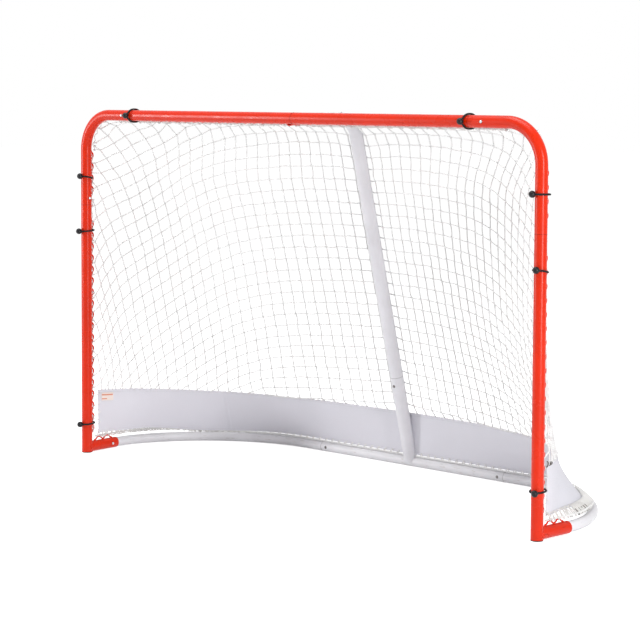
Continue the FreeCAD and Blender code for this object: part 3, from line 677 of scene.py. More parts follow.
@dataclass(frozen=True)
class FrameSizes:
    """Sizes that the pieces share with the CAD frame."""

    post_x: float = 0.9325
    crossbar_z: float = 1.1275
    tube_r: float = 0.0175
    rail_r: float = 0.0158
    corner_bend: float = 0.115
    post_seam_z: float = 0.830
    crossbar_seam_x: float = 0.690
    centre_seam_x: float = 0.018
    depth: float = 0.575
    stub: float = 0.130
    flare: float = math.radians(3.0)
    tight_bend: float = 0.300
    tight_turn: float = math.radians(23.8)
    base_seam_x: float = 0.38503
    bar_r: float = 0.02125
    bar_peak_y: float = 0.286
    bar_peak_z: float = 1.1235
    bar_bend: float = 0.064
    bar_seam_z: float = 0.300
    rod_pitch: float = 0.038
    rod_tilt: float = math.radians(35)
    # From a tube's edge to the first low point of the wavy rod, on the posts and the crossbar
    post_rod_start: float = 0.026
    head_rod_start: float = 0.022
    rope_r: float = 0.003
    head_rope_y: float = 0.028425
    head_rope_z: float = 1.107597
    head_rope_end: float = 0.790

    @property
    def stub_z(self) -> float:
        """Height at which the stubs leave the posts."""
        return self.tube_r + (self.tube_r - self.rail_r) * self.stub / (self.depth - self.stub)

    def rail_z(self, y: float) -> float:
        """Height of the rail's axis at a distance behind the goal line."""
        return self.stub_z + (self.rail_r - self.stub_z) * y / self.depth

    def post(self, side: int, z: float) -> np.ndarray:
        """Point of a post's axis at a height."""
        return np.array([side * self.post_x, 0, z])

    def crossbar(self, x: float) -> np.ndarray:
        """Point of the crossbar's axis at a distance from the middle."""
        return np.array([x, 0, self.crossbar_z])

    def stub_way(self, side: int) -> np.ndarray:
        """Direction of a stub, back from its post and a little outward."""
        return np.array([side * math.sin(self.flare), math.cos(self.flare), 0])

    @property
    def rod_down(self) -> np.ndarray:
        """Direction from the crossbar's axis to the rod under it."""
        return np.array([0, math.cos(self.rod_tilt), -math.sin(self.rod_tilt)])

    @property
    def bar_foot(self) -> np.ndarray:
        """Where the centre bar's line meets the rail's axis."""
        return np.array([0, self.depth, self.rail_r])

    @property
    def bar_run(self) -> np.ndarray:
        """From the foot of the centre bar's line to its corner."""
        return np.array([0, self.bar_peak_y, self.bar_peak_z]) - self.bar_foot

    @property
    def bar_up(self) -> np.ndarray:
        """Direction of the centre bar's slope."""
        return unit(self.bar_run)

    @property
    def bar_back(self) -> np.ndarray:
        """Direction square to the slope, out of the goal."""
        return np.array([0, self.bar_up[2], -self.bar_up[1]])

    @property
    def bar_tangent(self) -> float:
        """Length from the bend's ends to the corner of the bar's line."""
        lean = math.atan2(-self.bar_up[1], self.bar_up[2])
        return self.bar_bend * math.tan((math.pi / 2 - lean) / 2)

    @property
    def bar_straight(self) -> float:
        """Length of the slope from its foot to the bend."""
        return float(np.linalg.norm(self.bar_run)) - self.bar_tangent

    def bar_at(self, z: float) -> np.ndarray:
        """Point of the centre bar's line at a height."""
        return self.bar_foot + self.bar_up * (z - self.bar_foot[2]) / self.bar_up[2]


SIZES = FrameSizes()


@dataclass(frozen=True)
class RailPlan:
    """Plan of the base rail's right side: a straight, a tight bend, a wide bend and the back."""

    size: FrameSizes = SIZES

    @property
    def wide_turn(self) -> float:
        """Angle of the wide bend."""
        return math.pi / 2 + self.size.flare - self.size.tight_turn

    def at(self, s: float) -> tuple[np.ndarray, np.ndarray]:
        """Point at a length from the post, and the direction into the goal there.

        Args:
            s: Length along the rail's axis.

        Returns:
            The point and the direction, in plan.
        """
        size = self.size
        forward = size.stub_way(1)[:2]
        inward = np.array([-forward[1], forward[0]])

        def turn(v: np.ndarray, a: float) -> np.ndarray:
            """A plan vector turned to the left by an angle."""
            c, s = math.cos(a), math.sin(a)
            return np.array([v[0] * c - v[1] * s, v[0] * s + v[1] * c])

        point = np.array([size.post_x, 0.0]) + forward * min(s, size.stub)
        s -= size.stub
        if s <= 0:
            return point, inward
        for radius, angle in ((size.tight_bend, size.tight_turn), (None, self.wide_turn)):
            # The wide bend's radius is the one that ends at the rail's back
            radius = radius or (size.depth - point[1]) / (1 + inward[1])
            centre = point + inward * radius
            a = min(s / radius, angle)
            point, inward = centre + turn(point - centre, a), turn(inward, a)
            s -= radius * angle
            if s <= 0:
                return point, inward
        return point - np.array([s, 0]), inward

    @property
    def half(self) -> float:
        """Length from the post to the middle of the back."""
        bends = self.size.stub + self.size.tight_bend * self.size.tight_turn
        point, inward = self.at(bends)
        bends += (self.size.depth - point[1]) / (1 + inward[1]) * self.wide_turn
        return bends + self.at(bends)[0][0]

    def over(self, s: float, lift: float = 0.0, inset: float = 0.0) -> np.ndarray:
        """Point over the rail's axis on the right side.

        Args:
            s: Length from the post.
            lift: Height above the axis.
            inset: Distance into the goal.

        Returns:
            The point.
        """
        point, inward = self.at(s)
        point = point + inward * inset
        return np.array([*point, self.size.rail_z(point[1]) + lift])


RAIL = RailPlan()


@dataclass(frozen=True)
class TubeFrame:
    """Painted tubes with what their joints and welds show: seams, partly painted shade, painted shade round the
    button holes, and beads.
    """

    seam_r: float = 0.00045
    seam_points: int = 64
    # How far the white seams stand out and the one round a post's foot is sunk
    seam_step: float = 0.0002
    foot_seam_z: float = 0.0026
    stub_seam_gap: float = 0.0004
    tee_seam_y: float = 0.0484
    # From a seam to its button at the crossbar, at the posts and base, and at the stubs and bar
    crossbar_reach: float = 0.048
    short_reach: float = 0.022
    long_reach: float = 0.027
    hole_r: float = 0.0043
    # Thickness of the dark ring of painted shade round each button hole
    hole_edge_r: float = 0.0006
    hole_points: int = 32
    bead_r: float = 0.0019
    bead_points: int = 72
    bead_gap: float = 0.0006
    bead_step: float = 0.0009
    ripple: float = 0.12
    ripple_pitch: float = 0.0034
    foot_gap: float = 0.0004
    foot_angle: float = 0.8
    foot_points: int = 25
    spot_r: float = 0.0030
    spot_reach: float = 0.0045
    spot_lift: float = 0.0008
    spot_flat: float = 0.8
    spot_points: int = 9
    # Share of a spot's half length at its outer points, and least square of its width there
    spot_share: float = 0.97
    spot_end: float = 0.02
    # Weld spots of each rod, and where those of the corner and the stub start
    post_spots: int = 20
    corner_spots: int = 5
    corner_start: float = 0.03
    head_spots: int = 17
    stub_spots: int = 3
    stub_start: float = 0.034

    def build(self) -> None:
        """Dress the CAD tubes and add their small details."""
        dress(FINISHES.red, *both("corner_tube", "crossbar_tube", "lower_post", "base_stub"), "tee_stub")
        dress(FINISHES.red, *both(*(f"lacing_rod_{name}" for name in ("post", "corner", "crossbar", "stub"))))
        dress(FINISHES.rail, *both("base_side_tube"), "base_centre_tube")
        dress(FINISHES.white, "centre_bar_upper", "centre_bar_lower")
        sleeves = both("crossbar_sleeve", "post_sleeve", "base_sleeve")
        dress(FINISHES.sleeve, *sleeves, "crossbar_sleeve_centre", "centre_bar_sleeve")
        joints = both("crossbar", "post", "stub")
        low_joints = [*both("base"), "centre_bar"]
        dress(FINISHES.button, *(f"snap_button_{name}" for name in joints))
        # The base and centre bar buttons take the darker copy of the steel as painted shade
        dress(FINISHES.dark_button, *(f"snap_button_{name}" for name in low_joints))
        dress(FINISHES.spring, *(f"snap_spring_{name}" for name in joints + low_joints))
        dress(FINISHES.cap, "post_caps")
        self.seams()
        self.hole_shade_rings()
        self.welds()

    def ring(self, piece: Piece, centre: np.ndarray, axis: np.ndarray, radius: float) -> None:
        """Add a thin ring round a tube."""
        piece.sweep(circle(centre, axis, radius, self.seam_points), self.seam_r, closed=True)

    def seams(self) -> None:
        """Dark rings where one tube ends against the next: the joint's line, with painted shade for its gap."""
        size = SIZES
        white_r = size.rail_r + self.seam_step
        red, white = Piece("red_tube_seam_and_shade_rings"), Piece("white_tube_seam_and_shade_rings")
        for hand in Hand:
            side, way = hand.value, size.stub_way(hand.value)
            self.ring(red, size.crossbar(side * size.crossbar_seam_x), ACROSS, size.tube_r)
            self.ring(red, size.post(side, size.post_seam_z), UP, size.tube_r)
            self.ring(red, size.post(side, self.foot_seam_z), UP, size.tube_r - self.seam_step)
            self.ring(white, np.array([side * size.base_seam_x, size.depth, size.rail_r]), ACROSS, size.rail_r)
            self.ring(white, RAIL.over(size.stub) * hand.mirror + way * self.stub_seam_gap, way, white_r)
        self.ring(red, size.crossbar(size.centre_seam_x), ACROSS, size.tube_r)
        self.ring(white, size.bar_at(size.bar_seam_z), size.bar_up, size.bar_r)
        self.ring(white, np.array([0, self.tee_seam_y, size.bar_peak_z]), BACK, white_r)
        red.made(FINISHES.red_seam, "red_paint")
        white.made(FINISHES.white_seam, "white_paint")

    def buttons(self) -> list[tuple[np.ndarray, np.ndarray, np.ndarray, float]]:
        """Where the snap buttons are.

        Returns:
            For each the point on the tube's axis, the way out, the tube's way and its radius.
        """
        size = SIZES
        out = []
        for hand in Hand:
            side, way = hand.value, size.stub_way(hand.value)
            crossbar = size.crossbar(side * (size.crossbar_seam_x + self.crossbar_reach))
            out.append((crossbar, -BACK, ACROSS, size.tube_r))
            out.append((size.post(side, size.post_seam_z + self.short_reach), -ACROSS * side, UP, size.tube_r))
            stub = size.post(side, 0) + way * (size.stub - self.long_reach)
            stub[2] = size.rail_z(stub[1])
            out.append((stub, np.array([-side * way[1], side * way[0], 0]), way, size.tube_r))
            base = np.array([side * (size.base_seam_x - self.short_reach), size.depth, size.rail_r])
            out.append((base, -BACK, ACROSS, size.rail_r))
        bar = size.bar_at(size.bar_seam_z) - size.bar_up * self.long_reach
        out.append((bar, -size.bar_back, size.bar_up, size.bar_r))
        return out

    def hole_shade_rings(self) -> None:
        """Dark ring round each button's hole: painted shade for the gap round the button."""
        piece = Piece("button_hole_shade_rings")
        turns = np.linspace(0, TURN, self.hole_points, endpoint=False)[:, None]
        for centre, out, along, radius in self.buttons():
            width = self.hole_r * np.sin(turns)
            line = centre + along * self.hole_r * np.cos(turns) + np.cross(along, out) * width
            piece.sweep(line + out * np.sqrt(radius**2 - width**2), self.hole_edge_r, closed=True)
        piece.made(FINISHES.hole_edge, "button_steel")

    def bead(self, piece: Piece, line: np.ndarray, closed: bool) -> None:
        """Add a rippled weld bead along a line."""
        line = np.vstack([line, line[:1]]) if closed else line
        line = spaced(line, self.bead_step)
        line = line[:-1] if closed else line
        turn = TURN * np.arange(len(line)) * self.bead_step / self.ripple_pitch
        piece.sweep(line, self.bead_r * (1 + self.ripple * np.sin(turn)), 8, closed)

    def welds(self) -> None:
        """Beads where tubes meet, and spots where the wavy rods touch them."""
        size = SIZES
        beads, foot = Piece("red_weld_beads"), Piece("white_weld_bead")
        turns = np.linspace(0, TURN, self.bead_points, endpoint=False)[:, None]
        c, s = size.tube_r * np.cos(turns), size.tube_r * np.sin(turns)
        for hand in Hand:
            way = size.stub_way(hand.value)
            across = np.array([way[1], -way[0], 0])
            line = size.post(hand.value, size.stub_z) + way * (np.abs(s) + self.bead_gap) + across * c + UP * s
            line[:, 2] = np.maximum(line[:, 2], self.bead_r)
            self.bead(beads, line, True)
        height = s - (size.crossbar_z - size.bar_peak_z)
        y = np.sqrt(np.maximum(size.tube_r**2 - height**2, 0)) + self.bead_gap
        self.bead(beads, np.hstack([c, y, size.bar_peak_z + s]), True)
        self.spots(beads)
        beads.made(FINISHES.red, "red_paint")
        for start in (0, math.pi):
            turns = start + np.linspace(-self.foot_angle, self.foot_angle, self.foot_points)[:, None]
            c, s = size.bar_r * np.cos(turns), size.bar_r * np.sin(turns)
            rise = np.sqrt(size.rail_r**2 - s**2) + self.foot_gap
            self.bead(foot, size.bar_foot + ACROSS * c + size.bar_back * s + size.bar_up * rise, False)
        foot.made(FINISHES.white, "white_paint")

    def spots(self, piece: Piece) -> None:
        """Weld spots under the low points of the wavy rods."""
        size, pitch = SIZES, SIZES.rod_pitch
        r = size.tube_r + self.spot_lift
        low = size.stub_z + size.tube_r + size.post_rod_start
        start = size.tube_r + size.head_rod_start
        share = np.linspace(-1, 1, self.spot_points)
        run = self.spot_reach * share[:, None]
        radius = self.spot_r * np.sqrt(np.maximum(1 - (self.spot_share * share) ** 2, self.spot_end))
        for hand in Hand:
            side, way = hand.value, size.stub_way(hand.value)
            post, head = size.post(side, 0) + BACK * r, size.crossbar(0) + size.rod_down * r
            stub = size.post(side, size.stub_z + r)
            places = [(post + UP * (low + k * pitch), UP) for k in range(self.post_spots)]
            corner = size.post_seam_z + self.corner_start
            places += [(post + UP * (corner + k * pitch), UP) for k in range(self.corner_spots)]
            places += [(head + ACROSS * side * (start + k * pitch), ACROSS) for k in range(self.head_spots)]
            places += [(stub + way * (self.stub_start + k * pitch), way) for k in range(self.stub_spots)]
            for centre, along in places:
                piece.sweep(centre + along * run, radius, 8, flat=self.spot_flat)


# ---------------------------------------------------------------------------------------------
# Net


@dataclass(frozen=True)
class NetForm:
    """The surface that the hung net lies on, by its sections at each distance from the middle."""

    # Y and Z of the middle section, from the rope down to the skirt
    slope: tuple[tuple[float, float], ...] = (
        (0.0284, 1.1076), (0.08, 1.109), (0.14, 1.1095), (0.20, 1.1085), (0.25, 1.104), (0.28, 1.094), (0.299, 1.077),
        (0.311, 1.05), (0.3235, 1.0), (0.3442, 0.93), (0.3651, 0.85), (0.3905, 0.75), (0.4180, 0.65), (0.4456, 0.55),
        (0.4717, 0.45), (0.4978, 0.35), (0.5187, 0.27), (0.5370, 0.20), (0.5487, 0.155),
    )
    # Height, power of the distance and power of the depth for how a section shrinks to the post
    shrink: tuple[tuple[float, float, float], ...] = (
        (0.15, 2.0, 0.60), (0.25, 2.0, 0.64), (0.5, 1.8, 0.80), (0.93, 1.5, 0.63),
        (1.0, 2.0, 0.55), (1.075, 3.0, 0.40), (1.12, 3.0, 0.40),
    )
    # Height and reach of the net's outline at its bulge behind the post, and the way of the reach
    bulge: tuple[tuple[float, float], ...] = (
        (0.124, 0.8126), (0.176, 0.7786), (0.232, 0.7513), (0.308, 0.7309),
        (0.394, 0.7166), (0.474, 0.7071), (0.6, 0.7035), (1.2, 0.7015),
    )
    reach_x: float = 0.7325
    reach_y: float = 0.6807
    front: float = 0.028
    least_y: float = 0.02
    most_share: float = 0.9995
    # How far the centre bar lifts the net, how wide and up to which height
    bar_bump: float = 0.014
    bar_bump_x: float = 0.03
    bar_bump_z: float = 1.02
    # The top starts here, is this high in the middle and keeps to the corner's bend by this share
    top_z: float = 1.0
    top_rise: float = 0.1076
    top_share: float = 0.95

    def sections(self, x: np.ndarray) -> tuple[np.ndarray, np.ndarray]:
        """Section line at each of the given distances from the middle.

        Args:
            x: Distances, right being positive.

        Returns:
            Y and Z of the lines' points, one row for each distance.
        """
        bend = SIZES.corner_bend
        slope, shrink, bulge = np.array(self.slope), np.array(self.shrink), np.array(self.bulge)
        x = np.abs(x)[:, None]
        share = np.clip(x / SIZES.post_x, 0, self.most_share)
        z = slope[:, 1][None]
        power, depth = (np.interp(z, shrink[:, 0], shrink[:, k]) for k in (1, 2))
        y = self.front + (slope[:, 0][None] - self.front) * (1 - share**power) ** depth
        y = y + self.bar_bump * np.exp(-((x / self.bar_bump_x) ** 2)) * (z < self.bar_bump_z)
        reach = (np.interp(z, bulge[:, 0], bulge[:, 1]) - self.reach_x * x) / self.reach_y
        y = np.minimum(y, np.maximum(reach, self.least_y))
        round_off = np.clip((x - SIZES.post_x + bend) / bend, 0, 1)
        drop = bend * (1 - np.sqrt(np.maximum(1 - round_off**2, 0)))
        top = self.top_z + (z - self.top_z) * (1 - drop / self.top_rise * self.top_share)
        return y, np.where(z > self.top_z, top, z) + 0 * y

    def nearest(self, points: np.ndarray) -> np.ndarray:
        """Nearest points of the surface, each in its own section.

        Args:
            points: Points beside the surface.

        Returns:
            Points on it.
        """
        section = np.stack(self.sections(points[:, 0]), -1)
        start = section[:, :-1]
        run = section[:, 1:] - start
        share = ((points[:, None, 1:] - start) * run).sum(-1) / np.maximum((run * run).sum(-1), NOTHING)
        foot = start + run * np.clip(share, 0, 1)[..., None]
        best = ((points[:, None, 1:] - foot) ** 2).sum(-1).argmin(1)
        out = points.copy()
        out[:, 1:] = foot[np.arange(len(points)), best]
        return out


@dataclass(frozen=True)
class SkirtForm:
    """Cloth skirt from the rope on the rail up to a slanted edge that leans into the goal."""

    # Points of the upper edge on the right side, from the post to the middle
    edge: tuple[tuple[float, float, float], ...] = (
        (0.9325, 0.033, 0.2055), (0.931, 0.043, 0.205), (0.925, 0.069, 0.204), (0.910, 0.109, 0.203),
        (0.884, 0.158, 0.203), (0.846, 0.210, 0.200), (0.803, 0.258, 0.198), (0.755, 0.301, 0.196),
        (0.707, 0.340, 0.194), (0.641, 0.384, 0.193), (0.567, 0.425, 0.190), (0.491, 0.460, 0.188),
        (0.412, 0.490, 0.185), (0.330, 0.514, 0.183), (0.246, 0.534, 0.180), (0.161, 0.547, 0.178),
        (0.072, 0.555, 0.177), (0.0, 0.5585, 0.1765),
    )
    edge_step: float = 0.004
    edge_passes: int = 12
    start: float = 0.045
    # Height of the foot over the rail's axis beside the posts and at the back, and the change
    stub_lift: float = 0.0425
    rail_lift: float = 0.0245
    lift_span: tuple[float, float] = (0.22, 0.50)
    # How far in the foot is at the back and beside the rail's bends, and where that starts and ends
    least_inset: float = 0.002
    inset: float = 0.030
    inset_share: float = 0.8
    inset_start: tuple[float, float] = (0.05, 0.17)
    inset_stop: tuple[float, float] = (0.40, 0.75)
    # How far behind the rail a point of the upper edge may lie, and a mark for those further back
    behind: float = 0.02
    out_of_reach: float = 9.0
    hollow: float = 0.010
    hollow_start: tuple[float, float] = (0.05, 0.16)
    hollow_stop: tuple[float, float] = (0.3, 0.6)

    def upper(self, x: float) -> np.ndarray:
        """Point of the upper edge at a distance from the middle."""
        table = np.array(self.edge)[::-1]
        return np.array([x, np.interp(x, table[:, 0], table[:, 1]), np.interp(x, table[:, 0], table[:, 2])])

    def edge_line(self) -> np.ndarray:
        """The upper edge as close points, smoothed, from the post to the middle."""
        line = spaced(np.array(self.edge), self.edge_step)
        for _ in range(self.edge_passes):
            line[1:-1] = (line[:-2] + 2 * line[1:-1] + line[2:]) / 4
        return line

    def eased(self, s: float, start: float, stop: float) -> float:
        """Share that falls from 1 to 0 between two lengths along the rail."""
        share = min(max((s - start) / (stop - start), 0), 1)
        return 1 - share * share * (3 - 2 * share)

    def lift(self, s: float) -> float:
        """Height of the lower edge over the rail's axis, which is higher beside the posts."""
        return self.rail_lift + (self.stub_lift - self.rail_lift) * self.eased(s, *self.lift_span)

    def foot(self, s: float) -> np.ndarray:
        """Point of the lower edge over a point of the rail, which is further in at the sides."""
        share = (1 - self.inset_share * self.eased(s, *self.inset_start)) * self.eased(s, *self.inset_stop)
        return RAIL.over(s, self.lift(s), self.least_inset + (self.inset - self.least_inset) * share)

    def ruling(self, s: float, line: np.ndarray) -> tuple[np.ndarray, np.ndarray]:
        """Lower and upper end of the cloth's straight line over a point of the rail.

        Args:
            s: Length along the rail from the post.
            line: The upper edge.

        Returns:
            The two ends.
        """
        point, inward = RAIL.at(s)
        away = line[:, :2] - point
        # How far each point of the edge is beside the line of sight into the goal
        side = away[:, 0] * inward[1] - away[:, 1] * inward[0]
        side = np.where(away @ inward > -self.behind, side, self.out_of_reach)
        first, second = side[:-1], side[1:]
        crossing = np.nonzero((first * second <= 0) & (np.abs(first) < 1) & (np.abs(second) < 1))[0]
        k = int(crossing[0]) if len(crossing) else min(int(np.abs(side).argmin()), len(line) - 2)
        share = side[k] / (side[k] - side[k + 1]) if side[k] != side[k + 1] else 0.0
        return self.foot(s), line[k] + (line[k + 1] - line[k]) * min(max(share, 0), 1)

    def column(self, s: float, line: np.ndarray, share: np.ndarray) -> np.ndarray:
        """Points of the cloth over a point of the rail, hollowed where the side bends.

        Args:
            s: Length along the rail from the post.
            line: The upper edge.
            share: Shares of the height.

        Returns:
            The points.
        """
        low, high = self.ruling(s, line)
        inward = np.array([*RAIL.at(s)[1], 0])
        share = share[:, None]
        depth = self.hollow * (1 - self.eased(s, *self.hollow_start)) * self.eased(s, *self.hollow_stop)
        return low + (high - low) * share + inward * depth * np.sin(math.pi * share)

    def grid(self, rows: int, step: float) -> tuple[np.ndarray, np.ndarray]:
        """The whole cloth as a grid, from the left post round to the right one.

        Args:
            rows: Divisions of its height.
            step: About how far apart the columns are.

        Returns:
            Points, columns by rows, and their places on the cloth.
        """
        line, share = self.edge_line(), np.linspace(0, 1, rows + 1)
        places = np.linspace(self.start, RAIL.half, int((RAIL.half - self.start) / step) + 1)
        right = np.array([self.column(s, line, share) for s in places])
        grid = np.concatenate([right * Hand.LEFT.mirror, right[::-1][1:]])
        height = np.linalg.norm(grid - grid[:, :1], axis=-1)
        along = np.broadcast_to(walked(grid[:, rows // 2])[:, None], height.shape)
        return grid, np.stack([along, height], -1)


@dataclass(frozen=True)
class KnottedNet:
    """Square-meshed net cut along a slanting line, tied to the rope, the rods and the skirt."""

    skirt: SkirtForm
    form: NetForm = NetForm()
    columns: int = 32
    rows: int = 32
    row_strand: float = 0.043
    column_strand: float = 0.0375
    # A strand counts as no shorter than this when the net is first pulled tight
    short: float = 0.005
    steps: int = 700
    quick_steps: int = 60
    # Shares of a step: towards the neighbours' middle, apart where slack, and onto the form
    smooth: float = 0.15
    push: float = 0.15
    hold: float = 0.6
    seed: int = 7
    strand_r: float = 0.0020
    strand_points: int = 6
    least_strand: float = 0.002
    bow: float = 0.0010
    gap: float = 0.0002
    knot_r: float = 0.0020
    knot_cord_r: float = 0.0014
    knot_step: float = 0.0012
    knot_points: int = 15
    knot_height: float = 0.42
    # Share of a knot's height that is left on the tee and its arm
    knot_flat: float = 0.4
    # Turn of the knots in their plane: the most, and how it goes with the column and row
    knot_turn: float = 0.7
    turn_column: float = 12.9
    turn_row: float = 7.1
    loop_r: float = 0.0032
    loop_cord_r: float = 0.0018
    loop_points: int = 12
    loop_lean: float = 0.18
    # The middle column goes over the tee until this row, which is at this height
    top_row: int = 7
    top_row_z: float = 1.077
    # Where the tee and its arm lie, and the length over which the arm grows into the bar
    arm_y: float = 0.018
    arm_z: float = 1.09
    tee_end: float = 0.049
    neck: float = 0.022
    # The middle column's line: from and to the tee's edges, onto the arm, down the bar at these
    # heights with this many points round its bend, and tied a little below the skirt's edge
    tee_line: tuple[float, float, float] = (0.022, 0.050, 0.062)
    bend_points: int = 8
    bar_heights: tuple[float, ...] = (0.9, 0.7, 0.5, 0.35, 0.2)
    last_shift: tuple[float, float, float] = (0, 0.001, -0.004)
    # Heights between which a cut end is tied to the lacing, and not to the rope or the skirt
    rope_above: float = 1.1
    skirt_below: float = 0.212
    # Cut line on the right side: columns tied to the rope, distance behind the goal line, how far
    # inside the corner's bend and the post's axis, and then columns and rows with the angle round
    # the bend, with the height on the post and with the distance along the skirt
    rope_columns: int = 17
    # Knots are tried a little aside, as the line's own points lie on whole columns and rows
    aside: tuple[float, float] = (1e-4, 1.7e-4)
    edge_y: float = 0.026
    corner_inset: float = 0.012
    post_inset: float = 0.004
    corner: tuple[tuple[float, float, float], ...] = (
        (19, -0.2, 0.109), (20, 0.6, 0.439), (21, 1.0, 0.822), (22, 2.2, 1.457), (22.3, 3.0, 1.587),
    )
    post: tuple[tuple[float, float, float], ...] = (
        (23, 4, 0.9668), (23.4, 5, 0.9349), (25, 6.6, 0.8460), (25.3, 8, 0.7722), (26.1, 9, 0.7017), (27, 10, 0.6346),
        (27.4, 11, 0.5943), (28.2, 12, 0.5171), (29.2, 14, 0.4232), (30.2, 16, 0.3158), (30.7, 17, 0.2554),
        (31, 18, 0.2151),
    )
    side: tuple[tuple[float, float, float], ...] = (
        (30.2, 18.4, 0.928), (29, 19.4, 0.920), (28, 20.5, 0.910), (27, 21.4, 0.899), (26, 22.2, 0.884),
        (25, 23.0, 0.866), (24, 23.7, 0.846), (23, 24.4, 0.827), (22, 25.1, 0.803), (21, 25.8, 0.783),
        (20, 26.4, 0.755), (19, 27.1, 0.732), (18, 27.8, 0.707), (17, 28.4, 0.673), (16, 29.1, 0.641),
        (15, 29.7, 0.604), (14, 30.4, 0.567), (13, 31.0, 0.529),
    )

    def cut_line(self) -> np.ndarray:
        """The cut line with its places: column, row, X, Y and Z, closed round both sides."""
        size, bend = SIZES, SIZES.corner_bend
        line: list[tuple[float, ...]] = []
        for i in range(self.rope_columns + 1):
            line.append((i, 0, size.head_rope_end * i / self.rope_columns, size.head_rope_y, size.head_rope_z))
        reach = bend - self.corner_inset
        for i, j, a in self.corner:
            x, z = size.post_x - bend + reach * math.sin(a), size.crossbar_z - bend + reach * math.cos(a)
            line.append((i, j, x, self.edge_y, z))
        line += [(i, j, size.post_x - self.post_inset, self.edge_y, z) for i, j, z in self.post]
        line += [(i, j, *self.skirt.upper(x)) for i, j, x in self.side]
        last, row, x = self.side[-1]
        for k in range(last - 1, -1, -1):
            line.append((k, row + (last - k) / last, *self.skirt.upper(x * k / last)))
        right = np.array(line, float)
        left = right[::-1][1:-1] * np.array([-1, 1, -1, 1, 1])
        return np.vstack([right, left])

    def bar_line(self) -> tuple[np.ndarray, np.ndarray]:
        """Lines over the tee and its arm, and on down the back of the centre bar."""
        size, gap = SIZES, self.strand_r + self.gap
        tee, arm = size.bar_peak_z + size.tube_r + gap, size.bar_peak_z + size.rail_r + gap
        start, end, neck = self.tee_line
        top = [(0, start, tee), (0, end, tee), (0, neck, arm), (0, size.bar_peak_y - size.bar_tangent, arm)]
        centre = size.bar_foot + size.bar_up * size.bar_straight - size.bar_back * size.bar_bend
        last = math.atan2(size.bar_back[2], size.bar_back[1])
        line = []
        for t in np.linspace(0, 1, self.bend_points + 1)[1:]:
            a = math.pi / 2 + (last - math.pi / 2) * t
            r = size.bar_bend + size.rail_r + (size.bar_r - size.rail_r) * min(1, 2 * t) + gap
            line.append(centre + r * (BACK * math.cos(a) + UP * math.sin(a)))
        line += [size.bar_at(z) + size.bar_back * (size.bar_r + gap) for z in self.bar_heights]
        line.append(self.skirt.upper(0.0) + np.array(self.last_shift))
        return np.array(top), np.array(line)

    def knots_inside(self, ring: np.ndarray) -> dict[tuple[int, int], int]:
        """Number of each knot inside the cut line, by its column and row."""
        flat, after = ring[:, :2], np.roll(ring[:, :2], -1, axis=0)
        knots: dict[tuple[int, int], int] = {}
        for i in range(-self.columns, self.columns + 1):
            for j in range(1, self.rows + 1):
                u, v = i + self.aside[0], j + self.aside[1]
                spans = (flat[:, 1] > v) != (after[:, 1] > v)
                rise = np.where(spans, after[:, 1] - flat[:, 1], 1.0)
                hits = spans & (u < (after[:, 0] - flat[:, 0]) * (v - flat[:, 1]) / rise + flat[:, 0])
                if hits.sum() % 2:
                    knots[(i, j)] = len(knots)
        return knots

    def lattice(self) -> tuple[dict[tuple[int, int], int], np.ndarray, list[tuple[int, int, float, int]]]:
        """Knots inside the cut line, the cut ends and the strands between them.

        Returns:
            Number of each knot by column and row, the ends' points, and the strands as two
            numbers, the length and which of four groups it is in.
        """
        ring = self.cut_line()
        step = np.roll(ring, -1, axis=0) - ring
        flat, run = ring[:, :2], step[:, :2]
        knots = self.knots_inside(ring)
        ends: list[np.ndarray] = []
        strands: list[tuple[int, int, float, int]] = []
        for (i, j), a in knots.items():
            for di, dj in ((1, 0), (-1, 0), (0, 1), (0, -1)):
                length = self.row_strand if di else self.column_strand
                other = (i + di, j + dj)
                group = min(i, other[0]) % 2 if di else 2 + min(j, other[1]) % 2
                if other in knots:
                    if di + dj > 0:
                        strands.append((a, knots[other], length, group))
                    continue
                cross = di * run[:, 1] - dj * run[:, 0]
                cross = np.where(np.abs(cross) < NOTHING, NOTHING, cross)
                away = flat - np.array([i, j])
                t = (away[:, 0] * run[:, 1] - away[:, 1] * run[:, 0]) / cross
                share = (away[:, 0] * dj - away[:, 1] * di) / cross
                hit = (t > -1e-6) & (t < 1 + 1e-6) & (share > -1e-9) & (share < 1 + 1e-9)
                if hit.any():
                    k = int(np.where(hit, t, np.inf).argmin())
                    strands.append((a, len(knots) + len(ends), length * max(t[k], 0.0), group))
                    ends.append(ring[k, 2:] + step[k, 2:] * share[k])
        return knots, np.array(ends), strands

    def middle(self, knots: dict[tuple[int, int], int]) -> dict[int, np.ndarray]:
        """Where the knots of the middle column are held, by their numbers."""
        top, slope = self.bar_line()
        line = np.vstack([top, slope])
        length = walked(line)
        first = float(np.interp(-self.top_row_z, -slope[:, 2], length[len(top) :]))
        held = {}
        for (i, j), a in knots.items():
            if i == 0:
                over = (j - self.top_row) / (self.rows - self.top_row)
                at = first * j / self.top_row if j < self.top_row else first + (length[-1] - first) * over
                held[a] = between(at, length, line)
        return held

    def stretched(
        self, points: np.ndarray, pairs: np.ndarray, lengths: np.ndarray, held: dict[int, np.ndarray], n: int
    ) -> np.ndarray:
        """Knots pulled tight between the cut ends and the middle column.

        Args:
            points: Every point, of which the cut ends are known.
            pairs: The strands as pairs of numbers.
            lengths: The strands' lengths.
            held: Where the middle column's knots are.
            n: How many knots there are.

        Returns:
            The knots' points.
        """
        system, known = np.zeros((n, n)), np.zeros((n, 3))
        for (a, b), length in zip(pairs, lengths):
            weight = 1 / max(length, self.short)
            system[a, a] += weight
            if b < n:
                system[b, b] += weight
                system[a, b] -= weight
                system[b, a] -= weight
            else:
                known[a] += weight * points[b]
        for a, point in held.items():
            system[a], known[a] = 0, point
            system[a, a] = 1
        return np.linalg.solve(system, known)

